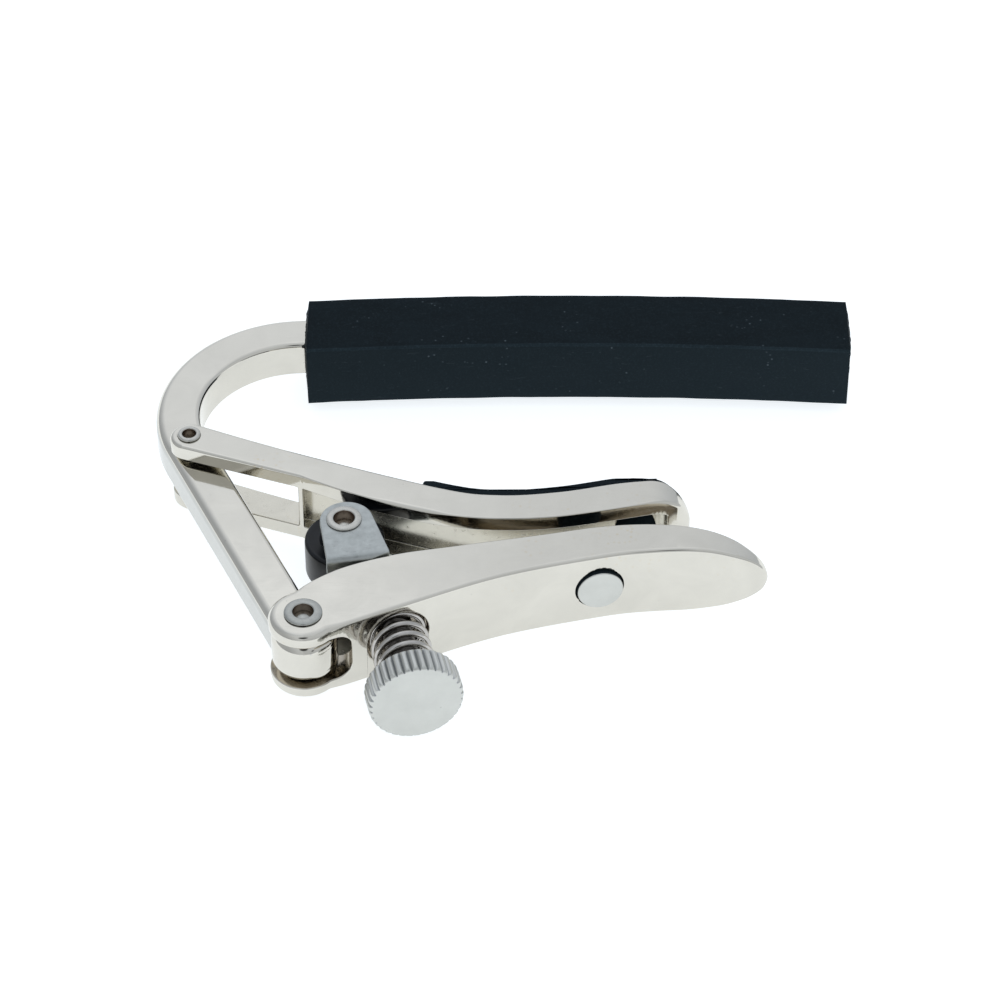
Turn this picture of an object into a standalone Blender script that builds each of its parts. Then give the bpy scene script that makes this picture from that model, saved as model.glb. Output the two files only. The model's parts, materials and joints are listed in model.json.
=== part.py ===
"""Lever-operated guitar capo, modelled as separate pieces lying on its side.

Lengths are millimetres in a drawing frame and turned into metres by MM. The drawing frame has x along the
string bar, y from the lever towards the strings, and z from the capo's mid-plane. The frame empty moves the
drawing so that the world origin is the middle of the bounding box's bottom face. Every pivot runs along z.
"""

import math

import bmesh
import bpy
from mathutils import Vector

MM = 0.001

# Placement of the drawing in the world.
CENTRE_X = 0.675
CENTRE_Y = -1.024
REST_HEIGHT = 6.10

# Pivots and the adjusting screw's axis.
ARM_PIVOT = (-39.4, 6.3)
LEVER_PIVOT = (-23.8, -26.0)
ROLLER_CENTRE = (-19.3, -9.8)
SCREW_SEAT = (-12.8, -23.2)
SCREW_TILT = 12.5

# String bar: a straight leg, a bend and a slightly bowed top run.
BAR_THICKNESS = 5.3
LEG_WIDTH = 5.7
TOP_WIDTH = 4.8
LEG_ANGLE = 115.0
LEG_OFFSET = 0.57
KNUCKLE_RADIUS = 4.0
BEND_CENTRE = (-25.67, 14.35)
BEND_RADIUS = 15.75
BOW_RADIUS = 490.0
BOW_CREST_AHEAD = 36.0
BAR_END_X = 44.4
BAR_EDGE = 0.7

# Rubber sleeve.
SLEEVE_START_X = -25.2
SLEEVE_END_X = 45.6
SLEEVE_NECK_WALL = 4.05
SLEEVE_BACK_WALL = 1.4
SLEEVE_HALF_Z = 4.62
SLEEVE_CLEARANCE = 0.15
SLEEVE_EDGE = 0.3

# Channel parts.
ARM_HALF_Z = 5.4
ARM_GAP_HALF_Z = 3.25
ARM_WEB = 2.6
ARM_EAR_RADIUS = 2.45
ARM_EDGE = 0.5
LEVER_HALF_Z = 5.3
LEVER_GAP_HALF_Z = 3.4
LEVER_WEB = 2.0
LEVER_EAR_RADIUS = 4.3
LEVER_EDGE = 0.8

# Arm pad and the stud that holds it.
PAD_START_X = -10.3
PAD_END_X = 22.2
PAD_NOSE_X = 23.5
PAD_HALF_Z = 4.7
PAD_HEIGHT = 1.55
PAD_TAPER_START_X = 16.0
PAD_NOSE_HEIGHT = 0.7
PAD_EDGE = 0.3
PAD_STUD_AT = (17.4, -2.12)
PAD_STUD_TILT = 6.0
PAD_STUD_RADIUS = 1.9
PAD_HEAD_RADIUS = 2.7

# Roller and its bracket.
ROLLER_RADIUS = 5.0
ROLLER_HALF_WIDTH = 2.6
ROLLER_HUB_RADIUS = 3.0
BRACKET_BASE_AT = (-20.7, -17.05)
BRACKET_HALF_Z = 5.75
BRACKET_SHEET = 0.8
BRACKET_BEND = 1.0
BRACKET_EAR_RADIUS = 3.1
BRACKET_HEIGHT = 16.0
TONGUE_HALF_Z = 3.0

# Rivets: shank radius, head radius, head height, hole radius and hole depth.
ARM_RIVET = (1.25, 1.45, 0.25, 0.85, 1.2)
LEVER_RIVET = (2.0, 2.35, 0.4, 1.5, 1.2)
ROLLER_PIN = (1.85, 2.2, 0.23, 1.4, 1.35)

# Screw, spring and knob; distances run along the screw axis from the spring seat, inwards positive.
SCREW_RADIUS = 2.0
SCREW_NECK_RADIUS = 1.35
KNOB_RADIUS = 5.85
KNOB_THICKNESS = 3.65
KNOB_BACK = -9.5
KNURLS = 36
SPRING_RADIUS = 3.32
SPRING_WIRE = 0.4
SPRING_TURNS = 5.25
COUNTERBORE_RADIUS = 4.15
SEAT_THICKNESS = 2.4

# General fits.
RUNNING_GAP = 0.1
FACE_GAP = 0.12

# Cutters start and end this far outside what they cut.
REACH = 12.0


def clear_scene():
    for obj in list(bpy.data.objects):
        bpy.data.objects.remove(obj, do_unlink=True)


def collection(name):
    made = bpy.data.collections.new(name)
    bpy.context.scene.collection.children.link(made)
    return made


def material(name, colour, roughness, metallic):
    made = bpy.data.materials.new(name)
    made.use_nodes = True
    shader = made.node_tree.nodes["Principled BSDF"]
    shader.inputs["Base Color"].default_value = (*colour, 1.0)
    shader.inputs["Roughness"].default_value = roughness
    shader.inputs["Metallic"].default_value = metallic
    made.diffuse_color = (*colour, 1.0)
    return made


# ---- Plane geometry ----


def arc(centre, radius, start, end, count):
    """Points on a circle from angle start to angle end, in degrees, both included."""
    return [
        (
            centre[0] + radius * math.cos(math.radians(start + (end - start) * i / count)),
            centre[1] + radius * math.sin(math.radians(start + (end - start) * i / count)),
        )
        for i in range(count + 1)
    ]


def smooth(points, steps):
    """A Catmull-Rom curve through the points, with the given steps in each span."""
    ends = [points[0], *points, points[-1]]
    found = []
    for a, b, c, d in zip(ends, ends[1:], ends[2:], ends[3:]):
        for i in range(steps):
            t = i / steps
            found.append(tuple(catmull(a[k], b[k], c[k], d[k], t) for k in range(2)))
    return [*found, points[-1]]


def catmull(a, b, c, d, t):
    return 0.5 * (
        2 * b + (c - a) * t + (2 * a - 5 * b + 4 * c - d) * t * t + (3 * b - a - 3 * c + d) * t ** 3
    )


def direction(angle):
    return math.cos(math.radians(angle)), math.sin(math.radians(angle))


def along(start, heading, distance, side=0.0):
    """A point at a distance along a heading, and to the left of it by side."""
    return (
        start[0] + heading[0] * distance - heading[1] * side,
        start[1] + heading[1] * distance + heading[0] * side,
    )


SCREW_IN = direction(90.0 + SCREW_TILT)
SCREW_ACROSS = direction(SCREW_TILT)
BOW_TILT = math.degrees(math.asin(BOW_CREST_AHEAD / BOW_RADIUS))
BOW_CENTRE = along(BEND_CENTRE, direction(90.0 + BOW_TILT), BEND_RADIUS - BOW_RADIUS)


# ---- Making objects ----


class Shop:
    """The collections, the frame empty and the small set of ways in which a solid is made."""

    def __init__(self):
        self.parts = collection("guitar_capo")
        self.cutters = collection("cutters")
        self.frame = bpy.data.objects.new("capo_frame", None)
        self.parts.objects.link(self.frame)
        self.frame.location = Vector((-CENTRE_X, -CENTRE_Y, REST_HEIGHT)) * MM

    def add(self, name, mesh):
        obj = bpy.data.objects.new(name, mesh)
        self.parts.objects.link(obj)
        obj.parent = self.frame
        return obj

    def plate(self, name, points, low, high):
        """A flat outline in the x-y plane, filled between two heights."""
        curve = bpy.data.curves.new(name, "CURVE")
        curve.dimensions = "2D"
        curve.fill_mode = "BOTH"
        curve.extrude = (high - low) / 2 * MM
        spline = curve.splines.new("POLY")
        spline.points.add(len(points) - 1)
        for point, (x, y) in zip(spline.points, points):
            point.co = (x * MM, y * MM, 0.0, 1.0)
        spline.use_cyclic_u = True
        mesh = mesh_of_curve(name, curve)
        for vertex in mesh.vertices:
            vertex.co.z += (low + high) / 2 * MM
        return self.add(name, mesh)

    def turned(self, name, profile, segments=32):
        """A profile of (radius, height) pairs, listed from the top down its outer side, about z."""
        mesh = bpy.data.meshes.new(name)
        verts = [(r * MM, 0.0, z * MM) for r, z in profile]
        mesh.from_pydata(verts, [(i, i + 1) for i in range(len(verts) - 1)], [])
        obj = self.add(name, mesh)
        screw = obj.modifiers.new("turn", "SCREW")
        screw.axis = "Z"
        screw.steps = segments
        screw.render_steps = segments
        screw.use_merge_vertices = True
        screw.merge_threshold = 0.000001
        return obj

    def cylinder(self, name, radius, low, high, segments=32):
        mesh = bpy.data.meshes.new(name)
        work = bmesh.new()
        bmesh.ops.create_cone(work, cap_ends=True, segments=segments, radius1=radius * MM,
                              radius2=radius * MM, depth=(high - low) * MM)
        bmesh.ops.translate(work, verts=work.verts, vec=(0, 0, (low + high) / 2 * MM))
        work.to_mesh(mesh)
        work.free()
        return self.add(name, mesh)

    def boolean(self, obj, cutter, operation="DIFFERENCE"):
        self.parts.objects.unlink(cutter)
        self.cutters.objects.link(cutter)
        cutter.hide_render = True
        cutter.display_type = "WIRE"
        tool = obj.modifiers.new(cutter.name, "BOOLEAN")
        tool.operation = operation
        tool.object = cutter
        tool.solver = "EXACT"


def mesh_of_curve(name, curve):
    """The curve's mesh, with its caps welded to its walls."""
    holder = bpy.data.objects.new(name + "_curve", curve)
    bpy.context.scene.collection.objects.link(holder)
    graph = bpy.context.evaluated_depsgraph_get()
    mesh = bpy.data.meshes.new_from_object(holder.evaluated_get(graph))
    bpy.data.objects.remove(holder)
    work = bmesh.new()
    work.from_mesh(mesh)
    bmesh.ops.remove_doubles(work, verts=work.verts, dist=0.000001)
    bmesh.ops.recalc_face_normals(work, faces=work.faces)
    work.to_mesh(mesh)
    work.free()
    return mesh


def bevel(obj, width, segments=2, angle=50.0):
    tool = obj.modifiers.new("edges", "BEVEL")
    tool.width = width * MM
    tool.segments = segments
    tool.limit_method = "ANGLE"
    tool.angle_limit = math.radians(angle)
    tool.use_clamp_overlap = True


def place(obj, x, y, z=0.0):
    obj.location = Vector((x, y, z)) * MM
    return obj


def on_screw_axis(obj, distance=0.0):
    """Puts an object's own z on the screw axis, pointing inwards, with its origin at a distance."""
    x, y = along(SCREW_SEAT, SCREW_IN, distance)
    obj.rotation_euler = (math.radians(-90.0), 0.0, math.radians(SCREW_TILT))
    return place(obj, x, y)


def move_origin(obj, x, y):
    """Keeps the shape where it is and puts the object's origin on a pivot."""
    for vertex in obj.data.vertices:
        vertex.co -= Vector((x, y, 0.0)) * MM
    return place(obj, x, y)


def finish(obj, look):
    obj.data.materials.clear()
    obj.data.materials.append(look)
    obj.data.shade_smooth()
    obj.data.set_sharp_from_angle(angle=math.radians(35.0))


# ---- String bar and sleeve ----


def bow_point(x, offset):
    """A point at x on the top run's bow, moved outwards from the neck by offset."""
    radius = BOW_RADIUS + offset
    return x, BOW_CENTRE[1] + math.sqrt(radius ** 2 - (x - BOW_CENTRE[0]) ** 2)


def bow_line(start, end, offset, count=12):
    return [bow_point(start + (end - start) * i / count, offset) for i in range(count + 1)]


def bar_outline():
    """The bar's side view: knuckle, leg, bend and top run, counter-clockwise."""
    half_leg = LEG_WIDTH / 2
    half_top = TOP_WIDTH / 2
    lean = math.degrees(math.asin((half_leg - LEG_OFFSET) / KNUCKLE_RADIUS))
    outer_lean = math.degrees(math.asin((half_leg + LEG_OFFSET) / KNUCKLE_RADIUS))
    knuckle = arc(LEVER_PIVOT, KNUCKLE_RADIUS, LEG_ANGLE + outer_lean, LEG_ANGLE + 360.0 - lean, 22)
    inner = arc(BEND_CENTRE, BEND_RADIUS - half_leg, LEG_ANGLE + 90.0, 90.0 + BOW_TILT, 16)
    outer = arc(BEND_CENTRE, BEND_RADIUS + half_leg, 90.0 + BOW_TILT, LEG_ANGLE + 90.0, 20)
    top_inner = bow_line(SLEEVE_START_X, BAR_END_X, -half_top)
    top_outer = bow_line(BAR_END_X, SLEEVE_START_X, half_top)
    return knuckle + inner + top_inner + top_outer + outer


def make_neck_bar(shop):
    bar = shop.plate("neck_bar", bar_outline(), -BAR_THICKNESS / 2, BAR_THICKNESS / 2)
    bevel(bar, BAR_EDGE)
    shop.boolean(bar, pin_hole(shop, "arm_pin_hole", ARM_RIVET, ARM_PIVOT))
    shop.boolean(bar, pin_hole(shop, "lever_pin_hole", LEVER_RIVET, LEVER_PIVOT))
    return bar


def pin_hole(shop, name, rivet, pivot):
    return place(shop.cylinder(name, rivet[0] + RUNNING_GAP, -REACH, REACH), *pivot)


def make_sleeve(shop):
    neck_side = -TOP_WIDTH / 2 - SLEEVE_NECK_WALL
    back_side = TOP_WIDTH / 2 + SLEEVE_BACK_WALL
    outline = bow_line(SLEEVE_START_X, SLEEVE_END_X, neck_side, 16)
    outline += bow_line(SLEEVE_END_X, SLEEVE_START_X, back_side, 16)
    sleeve = shop.plate("rubber_sleeve", outline, -SLEEVE_HALF_Z, SLEEVE_HALF_Z)
    bevel(sleeve, SLEEVE_EDGE, 1)
    half = TOP_WIDTH / 2 + SLEEVE_CLEARANCE
    bore = bow_line(SLEEVE_START_X - 1.0, SLEEVE_END_X + 1.0, -half, 16)
    bore += bow_line(SLEEVE_END_X + 1.0, SLEEVE_START_X - 1.0, half, 16)
    half_z = BAR_THICKNESS / 2 + SLEEVE_CLEARANCE
    shop.boolean(sleeve, shop.plate("sleeve_bore", bore, -half_z, half_z))
    return sleeve


# ---- Lower arm and its pad ----

ARM_NECK_SIDE = [(-38.4, 8.4), (-25.2, 3.05), (-7.5, -3.3), (0.0, -4.6), (7.5, -4.0), (15.0, -2.4),
                 (19.8, -1.95)]
ARM_OPEN_SIDE = [(18.7, -6.8), (7.4, -8.8), (0.0, -9.25), (-6.2, -8.6), (-12.4, -6.9), (-18.7, -4.5),
                 (-25.1, -1.4)]
ARM_NOSE = [(22.2, -2.6), (23.7, -3.9), (23.75, -5.1), (22.2, -6.2)]
ARM_NOSE_X = 24.0
ARM_CHANNEL_END = [(19.5, -4.6), (21.2, -5.2), (22.0, -7.5)]
ARM_WEB_START_X = -25.4


def arm_outline():
    ear = arc(ARM_PIVOT, ARM_EAR_RADIUS, 250.0, 70.0, 12)
    neck_side = smooth([*ARM_NECK_SIDE, *ARM_NOSE], 4)
    open_side = smooth([ARM_NOSE[-1], *ARM_OPEN_SIDE], 4)
    return ear[:-1] + neck_side[:-1] + open_side


def arm_plan(nose_x, half_z):
    """The arm seen along y: a bar with a rounded far end."""
    centre = nose_x - half_z
    end = [(centre + half_z * math.sin(a), half_z * math.cos(a))
           for a in (math.pi * i / 14 for i in range(15))]
    return [(-45.0, half_z), *end, (-45.0, -half_z)]


def plan_prism(shop, name, plan, low_y, high_y):
    """A prism with its outline in the x-z plane, between two y values."""
    prism = shop.plate(name, [(x, -z) for x, z in plan], low_y, high_y)
    prism.rotation_euler = (math.radians(-90.0), 0.0, 0.0)
    return prism


def offset_line(points, distance):
    """The open line moved to its right by distance, point by point."""
    moved = []
    for i, (x, y) in enumerate(points):
        ahead = points[min(i + 1, len(points) - 1)]
        behind = points[max(i - 1, 0)]
        length = math.dist(ahead, behind)
        moved.append((x + (ahead[1] - behind[1]) / length * distance,
                      y - (ahead[0] - behind[0]) / length * distance))
    return moved


def make_lower_arm(shop):
    arm = shop.plate("lower_arm", arm_outline(), -ARM_HALF_Z, ARM_HALF_Z)
    plan = arm_plan(ARM_NOSE_X, ARM_HALF_Z)
    shop.boolean(arm, plan_prism(shop, "arm_plan", plan, -REACH, REACH), "INTERSECT")
    bevel(arm, ARM_EDGE, 2, 60.0)
    floor = [p for p in offset_line(smooth(ARM_NECK_SIDE, 4), ARM_WEB) if ARM_WEB_START_X < p[0] < 18.0]
    floor += smooth(ARM_CHANNEL_END, 3)
    channel = [(-45.0, 12.0), (-45.0, -14.0), (floor[-1][0], -14.0), *reversed(floor),
               (ARM_WEB_START_X, floor[0][1]), (ARM_WEB_START_X, 12.0)]
    shop.boolean(arm, shop.plate("arm_channel", channel, -ARM_GAP_HALF_Z, ARM_GAP_HALF_Z))
    shop.boolean(arm, pin_hole(shop, "arm_pin_bore", ARM_RIVET, ARM_PIVOT))
    shop.boolean(arm, on_pad_stud_axis(shop.cylinder("pad_stud_hole", PAD_STUD_RADIUS + 0.15, -4.0, 2.0, 24)))
    return move_origin(arm, *ARM_PIVOT)


def on_pad_stud_axis(obj):
    """Puts an object's own z on the pad stud's axis, pointing to the neck, from the arm's outer face."""
    obj.rotation_euler = (math.radians(-90.0), 0.0, math.radians(PAD_STUD_TILT))
    return place(obj, *PAD_STUD_AT)


def pad_contact():
    """The pad's underside, following the arm's neck side."""
    line = offset_line(smooth([*ARM_NECK_SIDE, ARM_NOSE[0]], 4), -FACE_GAP)
    return [p for p in line if PAD_START_X < p[0] < PAD_END_X]


def pad_crown(contact):
    """The pad's neck face, which comes down towards the arm's nose."""
    full = offset_line(contact, -PAD_HEIGHT)
    low = offset_line(contact, -PAD_NOSE_HEIGHT)
    crown = []
    for (x, _), high_point, low_point in zip(contact, full, low):
        share = min(max((x - PAD_TAPER_START_X) / (PAD_END_X - PAD_TAPER_START_X), 0.0), 1.0)
        crown.append(tuple(a + (b - a) * share for a, b in zip(high_point, low_point)))
    return crown


def make_arm_pad(shop):
    """Moulded pad on the arm's neck side, held by a headed stud through the web."""
    contact = pad_contact()
    pad = shop.plate("arm_pad", contact + pad_crown(contact)[::-1], -PAD_HALF_Z, PAD_HALF_Z)
    plan = arm_plan(PAD_NOSE_X, PAD_HALF_Z + 0.1)
    shop.boolean(pad, plan_prism(shop, "pad_plan", plan, -REACH, REACH), "INTERSECT")
    bevel(pad, PAD_EDGE, 1, 60.0)
    under = -ARM_WEB - 0.35
    stud = [(0.0, 0.7), (PAD_STUD_RADIUS, 0.7), (PAD_STUD_RADIUS, under), (PAD_HEAD_RADIUS, under),
            (PAD_HEAD_RADIUS, under - 0.4), (PAD_HEAD_RADIUS - 0.4, under - 0.75), (0.0, under - 0.95)]
    shop.boolean(pad, on_pad_stud_axis(shop.turned("pad_stud", stud, 28)), "UNION")
    return move_origin(pad, *ARM_PIVOT)


# ---- Lever ----

LEVER_INNER = [(-24.6, -21.5), (-19.6, -18.0), (-12.9, -15.5), (-6.1, -14.1), (4.9, -12.0), (12.4, -10.5),
               (18.6, -10.05), (24.8, -10.65), (28.6, -11.5), (31.6, -12.7)]
LEVER_NOSE = [(32.7, -13.3), (33.2, -13.95), (32.7, -14.5)]
LEVER_OUTER = [(31.6, -14.75), (28.6, -14.9), (25.0, -14.75), (18.6, -15.1), (12.4, -16.1), (0.0, -19.5),
               (-12.1, -24.8), (-20.9, -28.9)]
LEVER_NOSE_X = 33.2
LEVER_NOSE_DEPTH = 11.5
LEVER_CHANNEL_END_X = 27.5
FORK_END_X = -18.0
BUTTON_AT = (12.3, -16.1)
BUTTON_TILT = 10.0
BUTTON_HOLE_RADIUS = 3.1
BUMPER_DOME_RADIUS = 2.75


def lever_outline():
    ear = arc(LEVER_PIVOT, LEVER_EAR_RADIUS, 310.0, 105.0, 14)
    return ear[:-1] + smooth([*LEVER_INNER, *LEVER_NOSE, *LEVER_OUTER], 4)


def lever_plan():
    """The lever seen along y, with a half-elliptical nose."""
    start = LEVER_NOSE_X - LEVER_NOSE_DEPTH
    end = [(start + LEVER_NOSE_DEPTH * math.sin(a), LEVER_HALF_Z * math.cos(a))
           for a in (math.pi * i / 16 for i in range(17))]
    return [(-30.0, LEVER_HALF_Z), *end, (-30.0, -LEVER_HALF_Z)]


def lever_channel():
    """The hollow between the lever's walls and the open fork around the bar's knuckle."""
    web = offset_line(smooth(LEVER_OUTER, 4), LEVER_WEB)
    web = [p for p in web if -7.5 < p[0] < LEVER_CHANNEL_END_X - 1.0]
    seat_floor = [along(SCREW_SEAT, SCREW_IN, SEAT_THICKNESS, side) for side in (4.6, -5.0)]
    outside = LEVER_PIVOT[0] - REACH
    below = LEVER_PIVOT[1] - REACH
    above = LEVER_PIVOT[1] + 2 * REACH
    return [(outside, below), (FORK_END_X, below), (FORK_END_X, -24.5), *seat_floor, *reversed(web),
            (LEVER_CHANNEL_END_X, -12.0), (LEVER_CHANNEL_END_X, above), (outside, above)]


def make_lever(shop):
    lever = shop.plate("lever", lever_outline(), -LEVER_HALF_Z, LEVER_HALF_Z)
    shop.boolean(lever, plan_prism(shop, "lever_plan", lever_plan(), -40.0, 0.0), "INTERSECT")
    bevel(lever, LEVER_EDGE, 2, 60.0)
    channel = shop.plate("lever_channel", lever_channel(), -LEVER_GAP_HALF_Z, LEVER_GAP_HALF_Z)
    shop.boolean(lever, channel)
    shop.boolean(lever, pin_hole(shop, "lever_pin_bore", LEVER_RIVET, LEVER_PIVOT))
    shop.boolean(lever, on_screw_axis(shop.cylinder("spring_counterbore", COUNTERBORE_RADIUS, -8.0, 0.0)))
    shop.boolean(lever, on_screw_axis(shop.cylinder("screw_hole", SCREW_RADIUS + RUNNING_GAP, -1.0, 6.0, 24)))
    shop.boolean(lever, on_button_axis(shop.cylinder("button_hole", BUTTON_HOLE_RADIUS, -4.0, 4.0)))
    return move_origin(lever, *LEVER_PIVOT)


def on_button_axis(obj):
    obj.rotation_euler = (math.radians(-90.0), 0.0, math.radians(BUTTON_TILT))
    return place(obj, *BUTTON_AT)


def make_bumper(shop):
    """Rubber bumper plugged through the lever's web, with a flange inside and a domed nose."""
    dome = [(r * BUMPER_DOME_RADIUS, 4.1 + 1.5 * h) for r, h in arc((0.0, 0.0), 1.0, 90.0, 0.0, 5)]
    plug = BUTTON_HOLE_RADIUS - 0.2
    profile = [*dome, (3.15, 3.6), (3.15, 2.35), (plug, 2.35), (plug, 0.95), (0.0, 0.95)]
    return on_button_axis(shop.turned("bumper", profile, 28))


def make_bumper_rivet(shop):
    profile = [(0.0, 0.83), (2.9, 0.83), (2.9, 0.5), (2.65, 0.25), (0.0, 0.18)]
    return on_button_axis(shop.turned("bumper_rivet", profile, 28))


# ---- Rivets ----


def rivet_profile(rivet, face):
    """A semi-tubular rivet with a rolled head on each side of the faces at plus and minus face."""
    radius, head_radius, height, hole_radius, hole_depth = rivet
    seat = face + FACE_GAP
    top = seat + height
    upper = [(0.0, top - hole_depth), (hole_radius, top - hole_depth), (hole_radius, top - 0.1),
             (hole_radius + 0.15, top), (head_radius - 0.25, top), (head_radius, top - height * 0.55),
             (head_radius, seat), (radius, seat)]
    return upper + [(r, -z) for r, z in reversed(upper)]


def make_rivet(shop, name, rivet, face, pivot):
    return place(shop.turned(name, rivet_profile(rivet, face), 28), *pivot)


# ---- Roller bracket ----

# The foot's corners stop short of the lever's walls, and only a narrower tongue goes on past the screw.
FOOT_NOTCH = [(-16.9, -20.0), (-8.0, -20.0), (-8.0, -13.4), (-12.9, -15.0), (-16.9, -16.3)]


def bracket_section():
    """The folded strip seen along its width: u is inwards along the screw axis, and the base is at u = 0."""
    half = BRACKET_HALF_Z
    fold = (half - BRACKET_BEND, BRACKET_BEND)
    low = arc(fold, BRACKET_BEND, -90.0, 0.0, 5)
    high = arc(fold, BRACKET_BEND - BRACKET_SHEET, 0.0, -90.0, 3)
    side = [*low, (half, BRACKET_HEIGHT), (half - BRACKET_SHEET, BRACKET_HEIGHT), *high]
    return side + [(-z, u) for z, u in reversed(side)]


def bracket_side_view():
    """The bracket's side view in the x-y plane: round ears on a wider foot."""
    left = (-20.9, -18.2)
    foot = [(-11.3, -17.0), (-11.3, -14.55), (-12.9, -14.9)]
    ear = arc(ROLLER_CENTRE, BRACKET_EAR_RADIUS, 22.0, 188.0, 16)
    return [left, *foot, *ear]


def make_roller_bracket(shop):
    strip = shop.plate("roller_bracket", bracket_section(), -14.0, 14.0)
    for vertex in strip.data.vertices:
        z, u, v = (value / MM for value in vertex.co)
        across = along(BRACKET_BASE_AT, SCREW_ACROSS, -v)
        vertex.co = Vector((*along(across, SCREW_IN, u), z)) * MM
    flip_if_inside_out(strip.data)
    shop.boolean(strip, shop.plate("bracket_side", bracket_side_view(), -8.0, 8.0), "INTERSECT")
    shop.boolean(strip, shop.plate("foot_notch_upper", FOOT_NOTCH, TONGUE_HALF_Z, REACH))
    shop.boolean(strip, shop.plate("foot_notch_lower", FOOT_NOTCH, -REACH, -TONGUE_HALF_Z))
    shop.boolean(strip, pin_hole(shop, "roller_pin_bore", ROLLER_PIN, ROLLER_CENTRE))
    neck = shop.cylinder("screw_neck_hole", SCREW_NECK_RADIUS + 0.2, 5.0, 10.6, 24)
    shop.boolean(strip, on_screw_axis(neck))
    x, y = along(SCREW_SEAT, SCREW_IN, base_distance())
    return move_origin(strip, x, y)


def base_distance():
    """Distance along the screw axis from the spring seat to the outer face of the bracket's base."""
    return sum((b - s) * d for b, s, d in zip(BRACKET_BASE_AT, SCREW_SEAT, SCREW_IN))


def flip_if_inside_out(mesh):
    work = bmesh.new()
    work.from_mesh(mesh)
    if work.calc_volume(signed=True) < 0:
        bmesh.ops.reverse_faces(work, faces=work.faces)
    work.to_mesh(mesh)
    work.free()


def make_roller(shop):
    r = ROLLER_RADIUS
    w = ROLLER_HALF_WIDTH
    hub = BRACKET_HALF_Z - BRACKET_SHEET - FACE_GAP
    bore = ROLLER_PIN[0] + RUNNING_GAP
    side = [(bore, hub), (ROLLER_HUB_RADIUS, hub), (ROLLER_HUB_RADIUS, w), (r - 0.5, w),
            (r - 0.15, w - 0.15), (r, w - 0.5)]
    ring = side + [(radius, -z) for radius, z in reversed(side)] + [(bore, hub)]
    return place(shop.turned("roller", ring, 40), *ROLLER_CENTRE)


# ---- Screw, spring and knob ----


def make_screw(shop):
    """Adjusting screw: thread, shoulder, neck through the bracket's base and a peened end."""
    base = base_distance()
    shoulder = base - FACE_GAP
    collar = base + BRACKET_SHEET + FACE_GAP
    profile = [(0.0, collar + 0.55), (1.6, collar + 0.55), (2.0, collar + 0.25), (2.0, collar),
               (SCREW_NECK_RADIUS, collar), (SCREW_NECK_RADIUS, shoulder), (SCREW_RADIUS, shoulder),
               (SCREW_RADIUS, KNOB_BACK - 2.4), (0.0, KNOB_BACK - 2.4)]
    return on_screw_axis(shop.turned("screw", profile, 24))


def knob_outline():
    """A circle with straight knurls as shallow flat-topped teeth."""
    points = []
    for i in range(KNURLS):
        for part, radius in ((0.0, KNOB_RADIUS), (0.42, KNOB_RADIUS), (0.62, KNOB_RADIUS - 0.32),
                             (0.8, KNOB_RADIUS - 0.32)):
            angle = 2 * math.pi * (i + part) / KNURLS
            points.append((radius * math.cos(angle), radius * math.sin(angle)))
    return points


def make_knob(shop):
    knob = shop.plate("knob", knob_outline(), -KNOB_THICKNESS - 0.5, 0.5)
    edge = KNOB_RADIUS - 0.35
    full = KNOB_RADIUS + 0.05
    rim = [(0.0, 0.0), (edge, 0.0), (full, edge - full), (full, full - edge - KNOB_THICKNESS),
           (edge, -KNOB_THICKNESS), (0.0, -KNOB_THICKNESS)]
    shop.boolean(knob, on_screw_axis(shop.turned("knob_rim", rim, 64), KNOB_BACK), "INTERSECT")
    bore = shop.cylinder("knob_bore", SCREW_RADIUS + RUNNING_GAP, -2.6, 1.0, 24)
    shop.boolean(knob, on_screw_axis(bore, KNOB_BACK))
    return on_screw_axis(knob, KNOB_BACK)


def make_spring(shop):
    """Compression spring between the counterbore's floor and the knob's back."""
    per_turn = 14
    count = int(SPRING_TURNS * per_turn)
    low = KNOB_BACK + SPRING_WIRE + FACE_GAP
    high = -SPRING_WIRE - FACE_GAP
    curve = bpy.data.curves.new("spring", "CURVE")
    curve.dimensions = "3D"
    curve.bevel_depth = SPRING_WIRE * MM
    curve.bevel_resolution = 2
    curve.use_fill_caps = True
    spline = curve.splines.new("POLY")
    spline.points.add(count)
    for i, point in enumerate(spline.points):
        x, y = direction(360.0 * i / per_turn)
        height = low + (high - low) * i / count
        point.co = (SPRING_RADIUS * x * MM, SPRING_RADIUS * y * MM, height * MM, 1.0)
    return on_screw_axis(shop.add("spring", mesh_of_curve("spring", curve)))


def main():
    clear_scene()
    shop = Shop()
    nickel = material("polished_nickel", (0.80, 0.78, 0.73), 0.08, 1.0)
    steel = material("satin_steel", (0.62, 0.64, 0.66), 0.32, 1.0)
    satin = material("satin_knob", (0.76, 0.78, 0.79), 0.40, 1.0)
    wire = material("spring_wire", (0.55, 0.55, 0.53), 0.22, 1.0)
    rubber = material("black_rubber", (0.018, 0.022, 0.028), 0.65, 0.0)
    nylon = material("black_nylon", (0.02, 0.02, 0.022), 0.35, 0.0)
    finish(make_neck_bar(shop), nickel)
    finish(make_sleeve(shop), rubber)
    finish(make_lower_arm(shop), nickel)
    finish(make_arm_pad(shop), rubber)
    finish(make_lever(shop), nickel)
    finish(make_bumper(shop), rubber)
    finish(make_bumper_rivet(shop), satin)
    finish(make_rivet(shop, "arm_rivet", ARM_RIVET, ARM_HALF_Z, ARM_PIVOT), nickel)
    finish(make_rivet(shop, "lever_rivet", LEVER_RIVET, LEVER_HALF_Z, LEVER_PIVOT), nickel)
    finish(make_roller_bracket(shop), steel)
    finish(make_rivet(shop, "roller_pin", ROLLER_PIN, BRACKET_HALF_Z, ROLLER_CENTRE), steel)
    finish(make_roller(shop), nylon)
    finish(make_screw(shop), wire)
    finish(make_spring(shop), wire)
    finish(make_knob(shop), satin)


main()
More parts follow.
